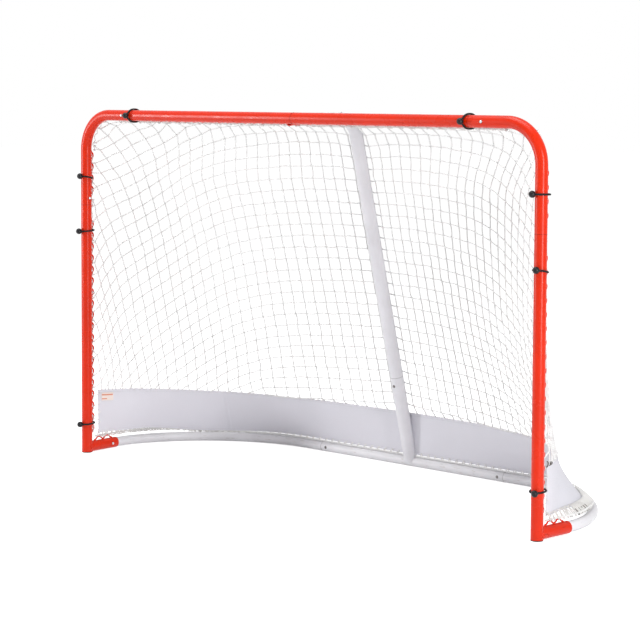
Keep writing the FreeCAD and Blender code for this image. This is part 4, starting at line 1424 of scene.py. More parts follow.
    def relax(self) -> tuple[dict[tuple[int, int], int], np.ndarray, np.ndarray]:
        """Hang the net: every strand takes its length while the knots stay near the form.

        Returns:
            Number of each knot, every point, and the strands as pairs of numbers.
        """
        knots, ends, strands = self.lattice()
        n = len(knots)
        pairs = np.array([strand[:2] for strand in strands])
        lengths, groups = (np.array([strand[k] for strand in strands]) for k in (2, 3))
        held = self.middle(knots)
        fixed, places = list(held), np.array(list(held.values()))
        points = np.vstack([np.zeros((n, 3)), ends])
        points[:n] = self.stretched(points, pairs, lengths, held, n)
        free = np.ones(len(points))
        free[n:] = 0
        free[fixed] = 0
        sets = [(pairs[groups == g, 0], pairs[groups == g, 1], lengths[groups == g]) for g in range(4)]
        degree = np.bincount(pairs.ravel(), minlength=len(points))[:n, None]
        for _ in range(self.steps):
            for a, b, rest in sets:
                gap = points[b] - points[a]
                now = np.maximum(np.linalg.norm(gap, axis=1), 1e-9)
                share = (now - rest) / now * np.where(now < rest, self.push, 1.0)
                move = (share / np.maximum(free[a] + free[b], 1))[:, None] * gap
                points[a] += move * free[a][:, None]
                points[b] -= move * free[b][:, None]
            around = np.zeros_like(points)
            np.add.at(around, pairs[:, 0], points[pairs[:, 1]])
            np.add.at(around, pairs[:, 1], points[pairs[:, 0]])
            points[:n] += (around[:n] / degree - points[:n]) * self.smooth
            points[:n] += (self.form.nearest(points[:n]) - points[:n]) * self.hold
            points[fixed] = places
        return knots, points, pairs

    def clear_of_bar(self, points: np.ndarray, radius: float) -> np.ndarray:
        """Points moved out of the centre bar, its arm and the tee.

        Args:
            points: Points in one array, the last axis being X, Y and Z.
            radius: How far they stay from the surface.

        Returns:
            The points, moved where they were inside.
        """
        size = SIZES
        flat = points.reshape(-1, 3).copy()
        slope = np.clip((flat - size.bar_foot) @ size.bar_up, 0, size.bar_straight)
        foot = size.bar_foot + slope[:, None] * size.bar_up
        away = flat - foot
        distance = np.linalg.norm(away, axis=1)
        need = size.bar_r + radius
        inside = distance < need
        flat[inside] = foot[inside] + away[inside] / np.maximum(distance[inside], 1e-9)[:, None] * need
        y, end = flat[:, 1], size.bar_peak_y - size.bar_tangent
        arm_r = np.interp(y, (end - self.neck, end), (size.rail_r, size.bar_r))
        out = np.where(y < self.tee_end, size.tube_r, arm_r) + radius
        across = np.hypot(flat[:, 0], flat[:, 2] - size.bar_peak_z)
        hit = (y > self.arm_y) & (y < end) & (flat[:, 2] > self.arm_z) & (across < out)
        scale = out[hit] / np.maximum(across[hit], 1e-9)
        flat[hit, 0] *= scale
        flat[hit, 2] = size.bar_peak_z + (flat[hit, 2] - size.bar_peak_z) * scale
        return flat.reshape(points.shape)

    def build(self) -> None:
        """Build the net's strands and knots."""
        knots, points, pairs = self.relax()
        piece = Piece("knotted_net")
        seeded = np.random.default_rng(self.seed)
        share = np.linspace(0, 1, self.strand_points)[None, :, None]
        starts, stops = points[pairs[:, :1]], points[pairs[:, 1:]]
        bow = seeded.normal(0, self.bow, (len(pairs), 1, 3))
        lines = starts + (stops - starts) * share + bow * np.sin(math.pi * share)
        for line in self.clear_of_bar(lines, self.strand_r):
            if np.linalg.norm(line[-1] - line[0]) > self.least_strand:
                piece.sweep(line, self.strand_r)
        self.tie_knots(piece, knots, points)
        self.end_loops(piece, points[len(knots) :], seeded)
        piece.made(FINISHES.net, "net_cord", ("net_top", "net_left", "net_right"))

    def tie_knots(self, piece: Piece, knots: dict[tuple[int, int], int], points: np.ndarray) -> None:
        """Add a knot of three turns at each crossing.

        Args:
            piece: The net's mesh.
            knots: Number of each knot.
            points: The net's points.
        """
        t = np.linspace(0, TURN, self.knot_points, endpoint=False)
        x, y = (np.sin(t) + 2 * np.sin(2 * t)) / 3, (np.cos(t) - 2 * np.cos(2 * t)) / 3
        cord = np.stack([x, y, -self.knot_height * np.sin(3 * t)], -1) * self.knot_r
        sample = Piece("sample")
        sample.sweep(cord, self.knot_cord_r, 5, True)
        verts, faces, marks = sample.points[0], np.array(sample.faces), sample.marks[0]
        for (i, j), a in knots.items():
            beside = points[knots.get((i + 1, j), a)] - points[knots.get((i - 1, j), a)]
            below = points[knots.get((i, j + 1), a)] - points[knots.get((i, j - 1), a)]
            u = unit(beside if beside.any() else ACROSS)
            w = unit(np.cross(u, below if below.any() else UP))
            v = np.cross(w, u)
            # Flat on the tee and its arm, and raised off the bar below them
            flat, centre = 1.0, points[a]
            if i == 0 and j < self.top_row:
                flat = self.knot_flat
            elif i == 0:
                centre = centre + w * math.copysign(self.knot_step, w[1])
            turn = self.knot_turn * math.sin(self.turn_column * i + self.turn_row * j)
            c, s = math.cos(turn), math.sin(turn)
            piece.patch(centre + verts @ np.array([u * c + v * s, v * c - u * s, w * flat]), faces, marks)

    def end_loops(self, piece: Piece, ends: np.ndarray, seeded: np.random.Generator) -> None:
        """Add a small loop round the rope or lacing at each cut end.

        Args:
            piece: The net's mesh.
            ends: Where the ends are.
            seeded: Source of small differences.
        """
        size = SIZES
        for end in ends:
            if abs(end[0]) <= size.head_rope_end + 1e-6 and end[2] > self.rope_above:
                centre, normal = np.array([end[0], size.head_rope_y, size.head_rope_z]), ACROSS
                radius = size.rope_r + self.strand_r
            elif end[2] > self.skirt_below:
                centre, normal, radius = end, UP, self.loop_r
            else:
                continue
            normal = unit(normal + seeded.normal(0, self.loop_lean, 3))
            piece.sweep(circle(centre, normal, radius, self.loop_points), self.loop_cord_r, 5, True)


@dataclass(frozen=True)
class Winding:
    """One cord wound round the skirt's foot and the rail's rope."""

    start: float
    stop: float
    pitch: float
    radius: float


@dataclass(frozen=True)
class Ropes:
    """Head rope under the crossbar and the rope along the rail, each of three twisted strands."""

    skirt: SkirtForm
    pitch: float = 0.021
    strands: int = 3
    strand_r: float = 0.00155
    lay_r: float = 0.00165
    step: float = 0.0021
    head_start: float = 0.0185
    head_step: float = 0.002
    # Lacing of the head rope: where it winds over the rod and where only round the rope
    lace_r: float = 0.0012
    rod_span: tuple[float, float] = (0.040, 0.655)
    rod_depth: float = 0.0320
    rod_swing: float = 0.0075
    rod_sway: float = 0.0052
    rope_span: tuple[float, float] = (0.662, 0.79)
    rope_coil: float = 0.0042
    rope_pitch: float = 0.019
    # Rope along the rail, and how far it is below the skirt's foot and at most over the rail
    rail_start: float = 0.036
    rail_end_gap: float = 0.0006
    rail_step: float = 0.004
    rail_inset: float = 0.004
    inset_span: tuple[float, float] = (0.5, 0.8)
    rail_drop: float = 0.0050
    rail_top: float = 0.032
    # Cords wound round the foot: where each passes under the rope and over the hem
    under_drop: float = 0.0042
    under_top: float = 0.030
    under: float = 0.0045
    over: float = 0.0065
    outward: float = 0.002
    swing: float = 0.0052
    winding_step: float = 0.0013
    windings: tuple[Winding, ...] = (
        Winding(0.046, 0.60, 0.0195, 0.0016),
        Winding(0.60, RAIL.half - 0.026, 0.0290, 0.0017),
        Winding(0.050, 0.62, 0.0270, 0.0014),
        Winding(0.190, 0.330, 0.0105, 0.0013),
    )
    # Lengths along the right foot at which short dark cords are wound
    dark_ties: tuple[float, ...] = (0.186, 0.205, 0.224, 0.243, 0.262)
    dark_length: float = 0.006
    dark_pitch: float = 0.013
    dark_phase: float = 1.6

    def twisted(self, piece: Piece, line: np.ndarray) -> None:
        """Add a rope along a line."""
        line = spaced(line, self.step)
        for k in range(self.strands):
            phase = TURN * k / self.strands
            piece.sweep(coiled(line, self.lay_r, self.lay_r, self.pitch, phase), self.strand_r, 7)

    def rail_line(self) -> np.ndarray:
        """Line of the rail's rope on the right side, from beside the post to the centre bar."""
        out = []
        for s in np.arange(self.rail_start, RAIL.half - SIZES.bar_r - self.rail_end_gap, self.rail_step):
            inset = self.rail_inset * (1 - self.skirt.eased(s, *self.inset_span))
            out.append(RAIL.over(s, min(self.skirt.lift(s) - self.rail_drop, self.rail_top), inset))
        return np.array(out)

    def winding(self, start: float, stop: float, pitch: float, phase: float = 0.0) -> np.ndarray:
        """Line of a cord wound round the skirt's lower hem and the rail's rope.

        Args:
            start: Length from the post at which it starts.
            stop: Length at which it ends.
            pitch: Length of one turn.
            phase: Where in the turn it starts, in radians.

        Returns:
            Points on the right side.
        """
        out = []
        for s in np.arange(start, stop, self.winding_step):
            inward = RAIL.at(s)[1]
            low = RAIL.over(s, min(self.skirt.lift(s) - self.under_drop, self.under_top) - self.under)
            low[:2] -= inward * self.outward
            high = self.skirt.foot(s) + UP * self.over
            turn = TURN * (s - start) / pitch + phase
            across = unit(np.cross(high - low, np.array([-inward[1], inward[0], 0])))
            half = (high - low) / 2
            out.append(low + half + half * math.cos(turn) + across * self.swing * math.sin(turn))
        return np.array(out)

    def build(self) -> None:
        """Build both ropes and the lacing wound round them."""
        size = SIZES
        head, rail, dark = Piece("head_rope_laid"), Piece("rail_rope_laid"), Piece("dark_foot_cords")
        lace, low_lace = Piece("head_lacing"), Piece("rail_lacing")
        x = np.arange(self.head_start, size.head_rope_end, self.head_step)
        turn = (TURN * (x - size.tube_r - size.head_rod_start) / size.rod_pitch)[:, None]
        swing = (self.rod_depth + self.rod_swing * np.cos(turn)) * size.rod_down
        on_rod, on_rope = ((x > low) & (x < high) for low, high in (self.rod_span, self.rope_span))
        rail_line = self.rail_line()
        for hand in Hand:
            along = ACROSS * hand.value * x[:, None]
            rope = along + np.array([0, size.head_rope_y, size.head_rope_z])
            self.twisted(head, rope)
            sway = self.rod_sway * np.sin(turn) * np.cross(ACROSS, size.rod_down)
            lace.sweep((along + size.crossbar(0) + swing + sway)[on_rod], self.lace_r)
            lace.sweep(coiled(rope[on_rope], self.rope_coil, self.rope_coil, self.rope_pitch), self.lace_r)
            self.twisted(rail, rail_line * hand.mirror)
            for cord in self.windings:
                line = self.winding(cord.start, cord.stop, cord.pitch)
                low_lace.sweep(line * hand.mirror, cord.radius)
        for s in self.dark_ties:
            dark.sweep(self.winding(s, s + self.dark_length, self.dark_pitch, self.dark_phase), self.lace_r)
        head.made(FINISHES.rope, "rope_cord", ("head_rope",))
        rail.made(FINISHES.rope, "rope_cord", ("rail_rope",))
        lace.made(FINISHES.lace, "rope_cord")
        low_lace.made(FINISHES.lace, "rope_cord")
        dark.made(FINISHES.dark_lace, "rope_cord")


@dataclass(frozen=True)
class PostLacing:
    """Cord threaded under the rods' humps that holds the net's edge, and the skirt's end ties."""

    skirt: SkirtForm
    cord_r: float = 0.00125
    # Cord down a post: its height, how far behind the post and how far it sways
    low: float = 0.064
    high: float = 1.01
    step: float = 0.003
    threaded_y: float = 0.0246
    sway: float = 0.0035
    # Cord round the corner's bend: its last angle, share of the tube's radius, coil and pitch
    corner_end: float = 0.06
    corner_share: float = 0.55
    corner_y: float = 0.0235
    corner_coil: float = 0.003
    corner_pitch: float = 0.030
    # Zigzag between the skirt's end and the post
    tie_inset: float = 0.006
    tie_low: float = 0.07
    tie_high: float = 0.20
    tie_step: float = 0.0016
    tie_y: float = 0.0256
    tie_pitch: float = 0.033
    tie_reach: float = 1.12
    tie_sway: float = 0.0042

    def build(self) -> None:
        """Build the cords behind both posts."""
        cord, ties = Piece("post_lacing"), Piece("skirt_end_ties")
        lines = (self.post_line(), self.corner_line())
        for hand in Hand:
            for line in lines:
                cord.sweep(line * hand.mirror, self.cord_r)
            ties.sweep(self.zigzag() * hand.mirror, self.cord_r)
        cord.made(FINISHES.lace, "rope_cord")
        ties.made(FINISHES.lace, "rope_cord")

    def post_line(self) -> np.ndarray:
        """Line of the cord behind the right post."""
        size = SIZES
        z = np.arange(self.low, self.high, self.step)
        turn = TURN * (z - size.stub_z - size.tube_r - size.post_rod_start) / size.rod_pitch
        return np.stack([size.post_x - self.sway * np.sin(turn), np.full_like(z, self.threaded_y), z], -1)

    def corner_line(self) -> np.ndarray:
        """Line of the cord round the right corner's bend."""
        size, bend = SIZES, SIZES.corner_bend
        a = np.linspace(math.pi / 2, self.corner_end, 60)
        wind = TURN * a * bend / self.corner_pitch
        r = bend - size.tube_r * self.corner_share + self.corner_coil * np.sin(wind)
        x, z = size.post_x - bend + r * np.sin(a), size.crossbar_z - bend + r * np.cos(a)
        return np.stack([x, self.corner_y + self.corner_coil * np.cos(wind), z], -1)

    def zigzag(self) -> np.ndarray:
        """Line of the tie between the skirt's end and the right post."""
        low, high = self.skirt.ruling(self.skirt.start + self.tie_inset, self.skirt.edge_line())
        rise = np.arange(self.tie_low, self.tie_high, self.tie_step)
        hem = low + (high - low) * np.clip((rise - low[2]) / (high[2] - low[2]), 0, 1)[:, None]
        hem[:, 2] = rise
        post = np.stack([np.full_like(rise, SIZES.post_x), np.full_like(rise, self.tie_y), rise], -1)
        swing = (TURN * rise / self.tie_pitch)[:, None]
        reach = (hem - post) / 2 * self.tie_reach
        return (hem + post) / 2 + reach * np.cos(swing) + ACROSS * self.tie_sway * np.sin(swing)


@dataclass(frozen=True)
class Skirt:
    """Cloth skirt with its hems, its upright seam and rows of stitches."""

    form: SkirtForm
    rows: int = 14
    step: float = 0.006
    ripple: float = 0.0012
    ripple_length: float = 0.31
    ripple_phase: float = 1.1
    # A point in the goal that the cloth's and the stitches' inner sides face
    inside: tuple[float, float, float] = (0.0, 0.2, 0.1)
    hem: float = 0.010
    hem_out: float = 0.0005
    hem_shares: tuple[float, ...] = (0.0, 0.33, 0.67, 1.0)
    hem_rise: tuple[float, ...] = (1.0, 1.0, 1.0, 0.25)
    edge_r: float = 0.0013
    edge_drop: float = 0.0002
    edge_flat: float = 0.7
    seam_x: float = -0.726
    seam_rise: tuple[float, ...] = (0.0002, 0.0011, 0.0011)
    seam_fold: float = 0.0006
    seam_r: float = 0.0007
    stitch_inset: float = 0.002
    stitch_step: float = 0.002
    stitch_rise: tuple[float, ...] = (0.0004, 0.0009, 0.0004)
    stitch_r: float = 0.0003

    def build(self) -> None:
        """Build the cloth and what is sewn on it."""
        grid, marks = self.form.grid(self.rows, self.step)
        inward = unit(np.cross(np.gradient(grid, axis=0), np.gradient(grid, axis=1)))
        inward *= np.sign((inward * (np.array(self.inside) - grid)).sum(-1))[..., None]
        wave = np.sin(marks[..., 0] * TURN / self.ripple_length + self.ripple_phase)
        wave = self.ripple * wave * np.sin(math.pi * np.linspace(0, 1, self.rows + 1))[None]
        grid = grid + inward * wave[..., None]
        cloth = Piece("skirt_cloth")
        cloth.sheet(grid, marks)
        sheet = cloth.made(FINISHES.skirt, "skirt_fabric", ("skirt",))
        sewn = [self.hems(grid, inward, marks), self.seam(grid, inward, marks), self.stitches(grid, marks)]
        widths = np.linalg.norm(np.diff(grid, axis=0), axis=-1)
        heights = np.linalg.norm(np.diff(grid, axis=1), axis=-1)
        area = float((((widths[:, 1:] + widths[:, :-1]) / 2) * ((heights[1:] + heights[:-1]) / 2)).sum())
        length, height = float(widths[:, 0].sum()), float(heights.sum(1).max())
        log.info("skirt: %.3f m long at its foot, %.3f m high, %.4f square metres", length, height, area)

    def level(self, grid: np.ndarray, marks: np.ndarray, height: float, from_top: bool = False) -> np.ndarray:
        """Line along the cloth at a distance from its lower or upper edge.

        Args:
            grid: The cloth's points.
            marks: Their places on the cloth.
            height: The distance.
            from_top: Whether it is measured from the upper edge.

        Returns:
            The line's points.
        """
        at = [mark[-1] - height if from_top else height for mark in marks[..., 1]]
        return np.array([between(place, mark[:, 1], column) for place, mark, column in zip(at, marks, grid)])

    def hems(self, grid: np.ndarray, inward: np.ndarray, marks: np.ndarray) -> bpy.types.Object:
        """Turned and rolled hems along the upper and lower edges and the two ends."""
        piece = Piece("skirt_hems")
        for from_top in (False, True):
            side = inward[:, self.rows if from_top else 0]
            for out in (self.hem_out, -self.hem_out):
                lines, places = [], []
                for share, rise in zip(self.hem_shares, self.hem_rise):
                    height = self.hem * share
                    lines.append(self.level(grid, marks, height, from_top) + side * out * rise)
                    places.append(np.stack([marks[:, 0, 0], np.full(len(grid), height)], -1))
                piece.sheet(np.array(lines), np.array(places))
            edge = self.level(grid, marks, self.edge_drop, from_top)
            piece.sweep(edge, self.edge_r, flat=self.edge_flat)
        for k in (0, -1):
            piece.sweep(grid[k], self.edge_r, flat=self.edge_flat)
        return piece.made(FINISHES.skirt, "skirt_fabric")

    def seam(self, grid: np.ndarray, inward: np.ndarray, marks: np.ndarray) -> bpy.types.Object:
        """The upright seam: one length of cloth lapped over the other."""
        piece = Piece("skirt_seam")
        near = int(np.abs(grid[:, 0, 0] - self.seam_x).argmin())
        lap = slice(near - 1, near + 2)
        piece.sheet(grid[lap] + inward[lap] * np.array(self.seam_rise)[:, None, None], marks[lap])
        piece.sweep(grid[near + 1] + inward[near + 1] * self.seam_fold, self.seam_r)
        return piece.made(FINISHES.skirt, "skirt_fabric")

    def stitches(self, grid: np.ndarray, marks: np.ndarray) -> bpy.types.Object:
        """Rows of short stitches along the hems."""
        piece = Piece("skirt_stitches")
        rise = np.array(self.stitch_rise)[:, None]
        for from_top in (True, False):
            line = spaced(self.level(grid, marks, self.hem - self.stitch_inset, from_top), self.stitch_step)
            face = unit(np.cross(np.gradient(line, axis=0), UP))
            face *= np.sign((face * (np.array(self.inside) - line)).sum(-1))[:, None]
            for out in (1, -1):
                for k in range(1, len(line) - 3, 3):
                    piece.sweep(line[k : k + 3] + out * face[k : k + 3] * rise, self.stitch_r, 5)
        return piece.made(FINISHES.thread, "skirt_fabric")


@dataclass(frozen=True)
class EdgeWhipping:
    """Cord that whips the net to the skirt's upper edge, with short dark cords at the right end."""

    form: SkirtForm
    cord_r: float = 0.0007
    step: float = 0.0015
    # The first points of the edge stay bare beside the post
    bare: int = 3
    across: float = 0.0020
    upright: float = 0.0026
    pitch: float = 0.0188
    # Distance behind the goal line and upward reach of each short dark cord, and its way and thickness
    dark: tuple[tuple[float, float], ...] = ((0.046, 0.0075), (0.059, 0.0055), (0.072, 0.0035))
    dark_r: float = 0.0014
    dark_across: float = 0.0040
    dark_back: float = 0.0015
    dark_drop: float = 0.003
    dark_angle: float = 1.9

    def build(self) -> None:
        """Build the whipping round the whole edge, and the dark ties."""
        edge = self.form.edge_line()
        right = edge[self.bare :]
        line = spaced(np.concatenate([right * Hand.LEFT.mirror, right[::-1][1:]]), self.step)
        piece, ties = Piece("edge_whipping"), Piece("dark_edge_cords")
        piece.sweep(coiled(line, self.across, self.upright, self.pitch), self.cord_r, 5)
        piece.made(FINISHES.lace, "rope_cord")
        turns = np.linspace(-self.dark_angle, self.dark_angle, 10)[:, None]
        for y, reach in self.dark:
            centre = edge[int(np.abs(edge[: len(edge) // 4, 1] - y).argmin())] - UP * self.dark_drop
            rise = UP * reach + BACK * self.dark_back
            ties.sweep(centre + ACROSS * self.dark_across * np.cos(turns) + rise * np.sin(turns), self.dark_r)
        ties.made(FINISHES.dark_lace, "rope_cord")


@dataclass(frozen=True)
class Tag:
    """Bare woven tag sewn on the skirt's inside beside the left post."""

    form: SkirtForm
    start: float = 0.058
    length: float = 0.038
    height: float = 0.026
    drop: float = 0.010
    thick: float = 0.0006
    stand_off: float = 0.0022
    swell: float = 0.0005
    columns: int = 13
    rows: int = 6
    cord_r: float = 0.0005
    stitch_r: float = 0.0003
    stitch_step: float = 0.0016
    stitch_rise: float = 0.6

    def build(self) -> None:
        """Build the tag, its hem and its stitches."""
        edge, mirror = self.form.edge_line(), Hand.LEFT.mirror
        cloth, outer = [], []
        for s in np.linspace(self.start, self.start + self.length, self.columns):
            low, high = self.form.ruling(s, edge)
            tall = float(np.linalg.norm(high - low))
            inward = np.array([*RAIL.at(s)[1], 0])
            off = self.stand_off + self.swell * math.sin(math.pi * (s - self.start) / self.length)
            share = np.linspace(1 - (self.drop + self.height) / tall, 1 - self.drop / tall, self.rows)
            cloth.append((self.form.column(s, edge, share) + inward * off) * mirror)
            outer.append(cloth[-1] - inward * mirror * self.thick)
        front, back = np.array(cloth), np.array(outer)
        u, v = np.linspace(0, self.length, self.columns)[:, None], np.linspace(0, self.height, self.rows)[None]
        marks = np.stack(np.broadcast_arrays(u, v), -1)
        piece, rim, thread = Piece("sewn_tag_cloth"), Piece("tag_hem"), Piece("tag_stitches")
        piece.sheet(front, marks)
        made = piece.made(FINISHES.tag, "tag_fabric", ("sewn_tag",))
        rim.sheet(back[::-1], marks[::-1])
        line = np.concatenate([front[:, 0], front[-1, 1:], front[::-1][1:, -1], front[0, ::-1][1:-1]])
        rim.sweep(line - (front[0, 0] - back[0, 0]) / 2, self.cord_r, 5, True)
        hem = rim.made(FINISHES.tag, "tag_fabric")
        middle = len(front) // 2 - 1
        rise = (front[middle, 2] - back[middle, 2]) * self.stitch_rise
        for row in (1, self.rows - 2):
            line = spaced(front[1:-1, row], self.stitch_step) + rise
            for k in range(0, len(line) - 2, 3):
                thread.sweep(line[k : k + 2], self.stitch_r, 5)
        stitches = thread.made(FINISHES.thread, "tag_fabric")
        flat = (self.height, float(walked(front[:, 2])[-1]))


@dataclass(frozen=True)
class Tie:
    """An elastic tie: its centre, its tube's direction, and how its loop is bent.

    The ball is turned round the tube, the loop leans, its back is raised and stands off behind.
    """

    centre: np.ndarray
    axis: np.ndarray
    turn: float = 0.0
    lean: float = 0.0
    step: float = 0.0
    rise: float = 0.0


@dataclass(frozen=True)
class ElasticTies:
    """Elastic loops round the tubes, each closed by a moulded ball."""

    cord_r: float = 0.00275
    clear: float = 0.00035
    ball_r: float = 0.00975
    front_angle: float = math.radians(40)
    cord_gap: float = 0.0004
    cord_step: float = 0.0022
    cord_points: int = 44
    # Height and turn of the ball round the post in degrees, and how far the loop's back is raised
    # and stands off the post to pass the lacing rod, from the top
    left: tuple[tuple[float, ...], ...] = (
        (0.925, 0.0, -0.008, 0.0), (0.742, -15.0, 0.0035, 0.0052), (0.096, -8.0, 0.0035, 0.0052),
    )
    right: tuple[tuple[float, ...], ...] = (
        (0.937, -26.0, -0.001, 0.0052), (0.735, 12.0, -0.0085, 0.0), (0.133, 20.5, 0.0045, 0.0052),
    )
    crossbar_shift: float = 0.0066
    crossbar_lean: float = math.radians(-19)
    crossbar_step: float = 0.004
    # A ball's mould line, and the sunk hole of its knot with the hole's rim
    ball_rows: int = 22
    ball_columns: int = 32
    pole: float = 0.04
    ridge: float = 0.00025
    ridge_angle: float = 0.05
    sunk: float = 0.0022
    sunk_angle: float = 0.24
    rim: float = 0.0003
    rim_place: float = 0.34
    rim_angle: float = 0.07

    def ties(self) -> list[Tie]:
        """Every tie, the left side's first."""
        out = []
        for hand, places in ((Hand.LEFT, self.left), (Hand.RIGHT, self.right)):
            for height, turn, rise, step in places:
                out.append(Tie(SIZES.post(hand.value, height), UP, math.radians(turn), 0.0, step, rise))
            centre = SIZES.crossbar(hand.value * SIZES.crossbar_seam_x - self.crossbar_shift)
            out.append(Tie(centre, ACROSS, 0.0, self.crossbar_lean, self.crossbar_step))
        return out

    def loop(self, tie: Tie) -> tuple[np.ndarray, np.ndarray]:
        """A tie's cord, which crosses in front of the tube.

        Args:
            tie: The tie.

        Returns:
            The cord's line and the direction of the ball.
        """
        across = np.cross(tie.axis, BACK)
        normal = turned(tie.axis, across, tie.lean)
        front = turned(-BACK, across, tie.lean) / math.cos(tie.lean)
        side = np.cross(normal, front) * math.cos(tie.lean)
        radius = SIZES.tube_r + self.clear + self.cord_r
        a = self.front_angle
        lead = (radius * math.sin(a) - self.cord_r - self.cord_gap) / math.cos(a)
        start, stop = tie.turn + a, TURN + tie.turn - a
        # Angle round the tube, and how far the cord's free part leads on from there
        places = [(start, -lead)]
        places += [(angle, 0.0) for angle in np.linspace(start, stop, self.cord_points)]
        places += [(tie.turn - a, lead)]
        line = []
        for angle, reach in places:
            c, s = math.cos(angle), math.sin(angle)
            spot = tie.centre + front * (radius * c - reach * s) + side * (radius * s + reach * c)
            line.append(spot - front * tie.step * (c < 0) + tie.axis * tie.rise * (1 - c) / 2)
        return np.array(line), front * math.cos(tie.turn) + side * math.sin(tie.turn)

    def build(self) -> None:
        """Build the loops and balls."""
        loops, balls = Piece("elastic_cords"), Piece("moulded_balls")
        for tie in self.ties():
            line, way = self.loop(tie)
            loops.sweep(spaced(line, self.cord_step), self.cord_r, 12)
            self.ball(balls, tie.centre + way * (SIZES.tube_r + self.clear + self.ball_r), unit(way))
        loops.made(FINISHES.elastic, "elastic_cord", ("elastic_loops",))
        balls.made(FINISHES.ball, "ball_plastic", ("elastic_balls",))

    def ball(self, piece: Piece, centre: np.ndarray, way: np.ndarray) -> None:
        """Add a ball with a raised mould line and a sunk knot hole in front.

        Args:
            piece: The balls' mesh.
            centre: The ball's centre.
            way: Direction away from the tube.
        """
        rows, cols = self.ball_rows + 1, self.ball_columns
        polar = np.linspace(self.pole, math.pi - self.pole, rows)[None]
        turns = np.linspace(0, TURN, cols, endpoint=False)[:, None]
        radius = self.ball_r + self.ridge * np.exp(-(((polar - math.pi / 2) / self.ridge_angle) ** 2))
        radius = radius - self.sunk * np.exp(-((polar / self.sunk_angle) ** 4))
        radius = radius + self.rim * np.exp(-(((polar - self.rim_place) / self.rim_angle) ** 2))
        first, second = frames(np.stack([centre, centre + way]), False)
        parts = (np.sin(polar) * np.cos(turns), np.sin(polar) * np.sin(turns), np.cos(polar) + 0 * turns)
        grid = centre + radius[..., None] * np.stack(parts, -1) @ np.array([first[0], second[0], way])
        marks = np.stack(np.broadcast_arrays(polar * self.ball_r, turns / TURN), -1)
        base = piece.count
        piece.sheet(grid, marks, True)
        piece.faces.append([base + k * rows for k in range(cols)])
        piece.faces.append([base + k * rows + rows - 1 for k in reversed(range(cols))])


# ---------------------------------------------------------------------------------------------
# Studio


@dataclass(frozen=True)
class Lamp:
    """A soft box: where it stands, what it looks at, its width, height and power."""

    name: str
    place: Point
    target: Point
    width: float
    height: float
    power: float

    def build(self) -> None:
        """Hang the lamp."""
        light = bpy.data.lights.new(self.name, "AREA")
        light.shape, light.size, light.size_y, light.energy = "RECTANGLE", self.width, self.height, self.power
        look = unit(np.array(self.target, float) - np.array(self.place, float))
        side = unit(np.cross(look, UP if abs(look[2]) < STEEP else BACK))
        hang(self.name, light, self.place, side, np.cross(side, look), look)


def hang(
    name: str, data: bpy.types.ID, place: Point, right: np.ndarray, up: np.ndarray, look: np.ndarray
) -> bpy.types.Object:
    """Put a lamp or camera in the scene.

    Args:
        name: The object's name.
        data: The lamp or camera.
        place: Where it stands.
        right: Its right.
        up: Its upward direction.
        look: The direction that it looks.

    Returns:
        The object.
    """
    made = bpy.data.objects.new(name, data)
    turn = Matrix(np.stack([right, up, -look], 1).tolist()).to_4x4()
    made.matrix_world = Matrix.Translation(place) @ turn
    bpy.context.scene.collection.objects.link(made)
    return made


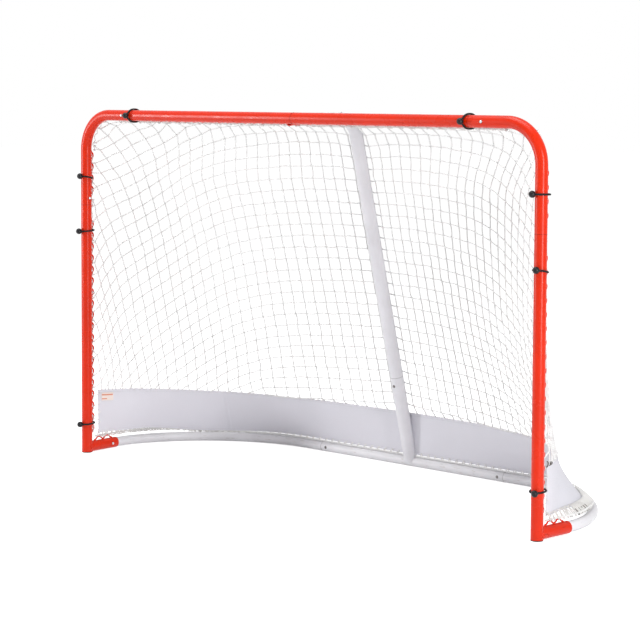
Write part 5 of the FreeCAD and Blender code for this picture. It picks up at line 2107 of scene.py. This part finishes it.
@dataclass(frozen=True)
class Studio:
    """Pale floor, soft lamps, white surroundings and the camera."""

    place: tuple[float, float, float] = (4.04556, -4.21340, 1.20024)
    yaw: float = math.radians(42.9238)
    pitch: float = math.radians(4.1284)
    roll: float = math.radians(0.3057)
    focal_px: float = 1953.98
    picture: int = 640
    axis_y: float = 235.0
    sensor: float = 36.0
    surround: float = 0.42
    floor_reach: float = 30.0
    floor_glow: float = 0.68
    floor_grain: float = 40.0
    floor_tone: tuple[float, float] = (0.84, 0.88)
    lamps: tuple[Lamp, ...] = (
        Lamp("right_box", (3.9, -1.25, 1.25), (0, 0, 1.25), 0.45, 2.3, 90.0),
        Lamp("left_box", (-4.1, -3.7, 1.3), (0, 0, 1.3), 0.8, 2.4, 122.0),
        Lamp("top_box", (0.0, -0.8, 4.4), (0, 0, 0.4), 3.0, 2.4, 115.0),
    )

    def build(self) -> None:
        """Set up the whole studio."""
        for lamp in self.lamps:
            lamp.build()
        self.floor()
        self.world()
        self.camera()
        bpy.context.scene.view_settings.view_transform = "Standard"

    def seen(self, nodes: Nodes) -> Socket:
        """One where the camera, a reflection or clear material looks, and nought for light."""
        path = nodes.add("ShaderNodeLightPath").outputs
        total = nodes.maths("MAXIMUM", path["Is Camera Ray"], path["Is Glossy Ray"])
        return nodes.maths("MAXIMUM", total, path["Is Transmission Ray"])

    def floor(self) -> None:
        """Pale floor that keeps the object's shadow and looks white where it is lit."""
        mesh = bpy.data.meshes.new("floor")
        corners = [(x * self.floor_reach, y * self.floor_reach, 0) for x, y in ((-1, -1), (1, -1), (1, 1), (-1, 1))]
        mesh.from_pydata(corners, [], [(0, 1, 2, 3)])
        floor = bpy.data.objects.new("floor", mesh)
        bpy.context.scene.collection.objects.link(floor)
        material = bpy.data.materials.new("pale_floor")
        nodes = Nodes(material)
        grain = nodes.add("ShaderNodeTexNoise", {"Scale": self.floor_grain}).outputs[0]
        tone = nodes.spread(grain, 0, 1, *self.floor_tone)
        matt = nodes.add("ShaderNodeBsdfDiffuse", {"Color": tone}).outputs[0]
        strength = nodes.maths("MULTIPLY", self.seen(nodes), self.floor_glow)
        glow = nodes.add("ShaderNodeEmission", {"Strength": strength}).outputs[0]
        surface = nodes.add("ShaderNodeAddShader", {0: matt, 1: glow}).outputs[0]
        nodes.add("ShaderNodeOutputMaterial", {"Surface": surface})
        mesh.materials.append(material)

    def world(self) -> None:
        """White surroundings, seen at full strength and lighting at less."""
        world = bpy.data.worlds.new("surround")
        bpy.context.scene.world = world
        nodes = Nodes(world)
        strength = nodes.spread(self.seen(nodes), 0, 1, self.surround, 1)
        sky = nodes.add("ShaderNodeBackground", {"Color": (1, 1, 1, 1), "Strength": strength}).outputs[0]
        nodes.add("ShaderNodeOutputWorld", {"Surface": sky})

    def camera(self) -> None:
        """Camera at the angle that the goal is seen from."""
        flat = math.cos(self.pitch)
        look = np.array([-math.sin(self.yaw) * flat, math.cos(self.yaw) * flat, -math.sin(self.pitch)])
        right = unit(np.cross(look, UP))
        up = np.cross(right, look)
        c, s = math.cos(self.roll), math.sin(self.roll)
        lens = bpy.data.cameras.new("camera")
        lens.sensor_fit, lens.sensor_width = "HORIZONTAL", self.sensor
        lens.lens = self.focal_px / self.picture * self.sensor
        lens.shift_y = (self.axis_y - self.picture / 2) / self.picture
        place = np.array(self.place) + BACK * GOAL_LINE_Y
        camera = hang("camera", lens, place.tolist(), c * right + s * up, c * up - s * right, look)
        bpy.context.scene.camera = camera


def main() -> None:
    """Build every piece in order."""
    logging.basicConfig(level=logging.INFO, format="%(name)s %(message)s", stream=sys.stdout)
    skirt = SkirtForm()
    for part in (
        Studio(), TubeFrame(), Ropes(skirt), PostLacing(skirt), KnottedNet(skirt),
        Skirt(skirt), EdgeWhipping(skirt), Tag(skirt), ElasticTies(),
    ):
        log.info("building %s", type(part).__name__)
        part.build()


if __name__ == "__main__":
    main()
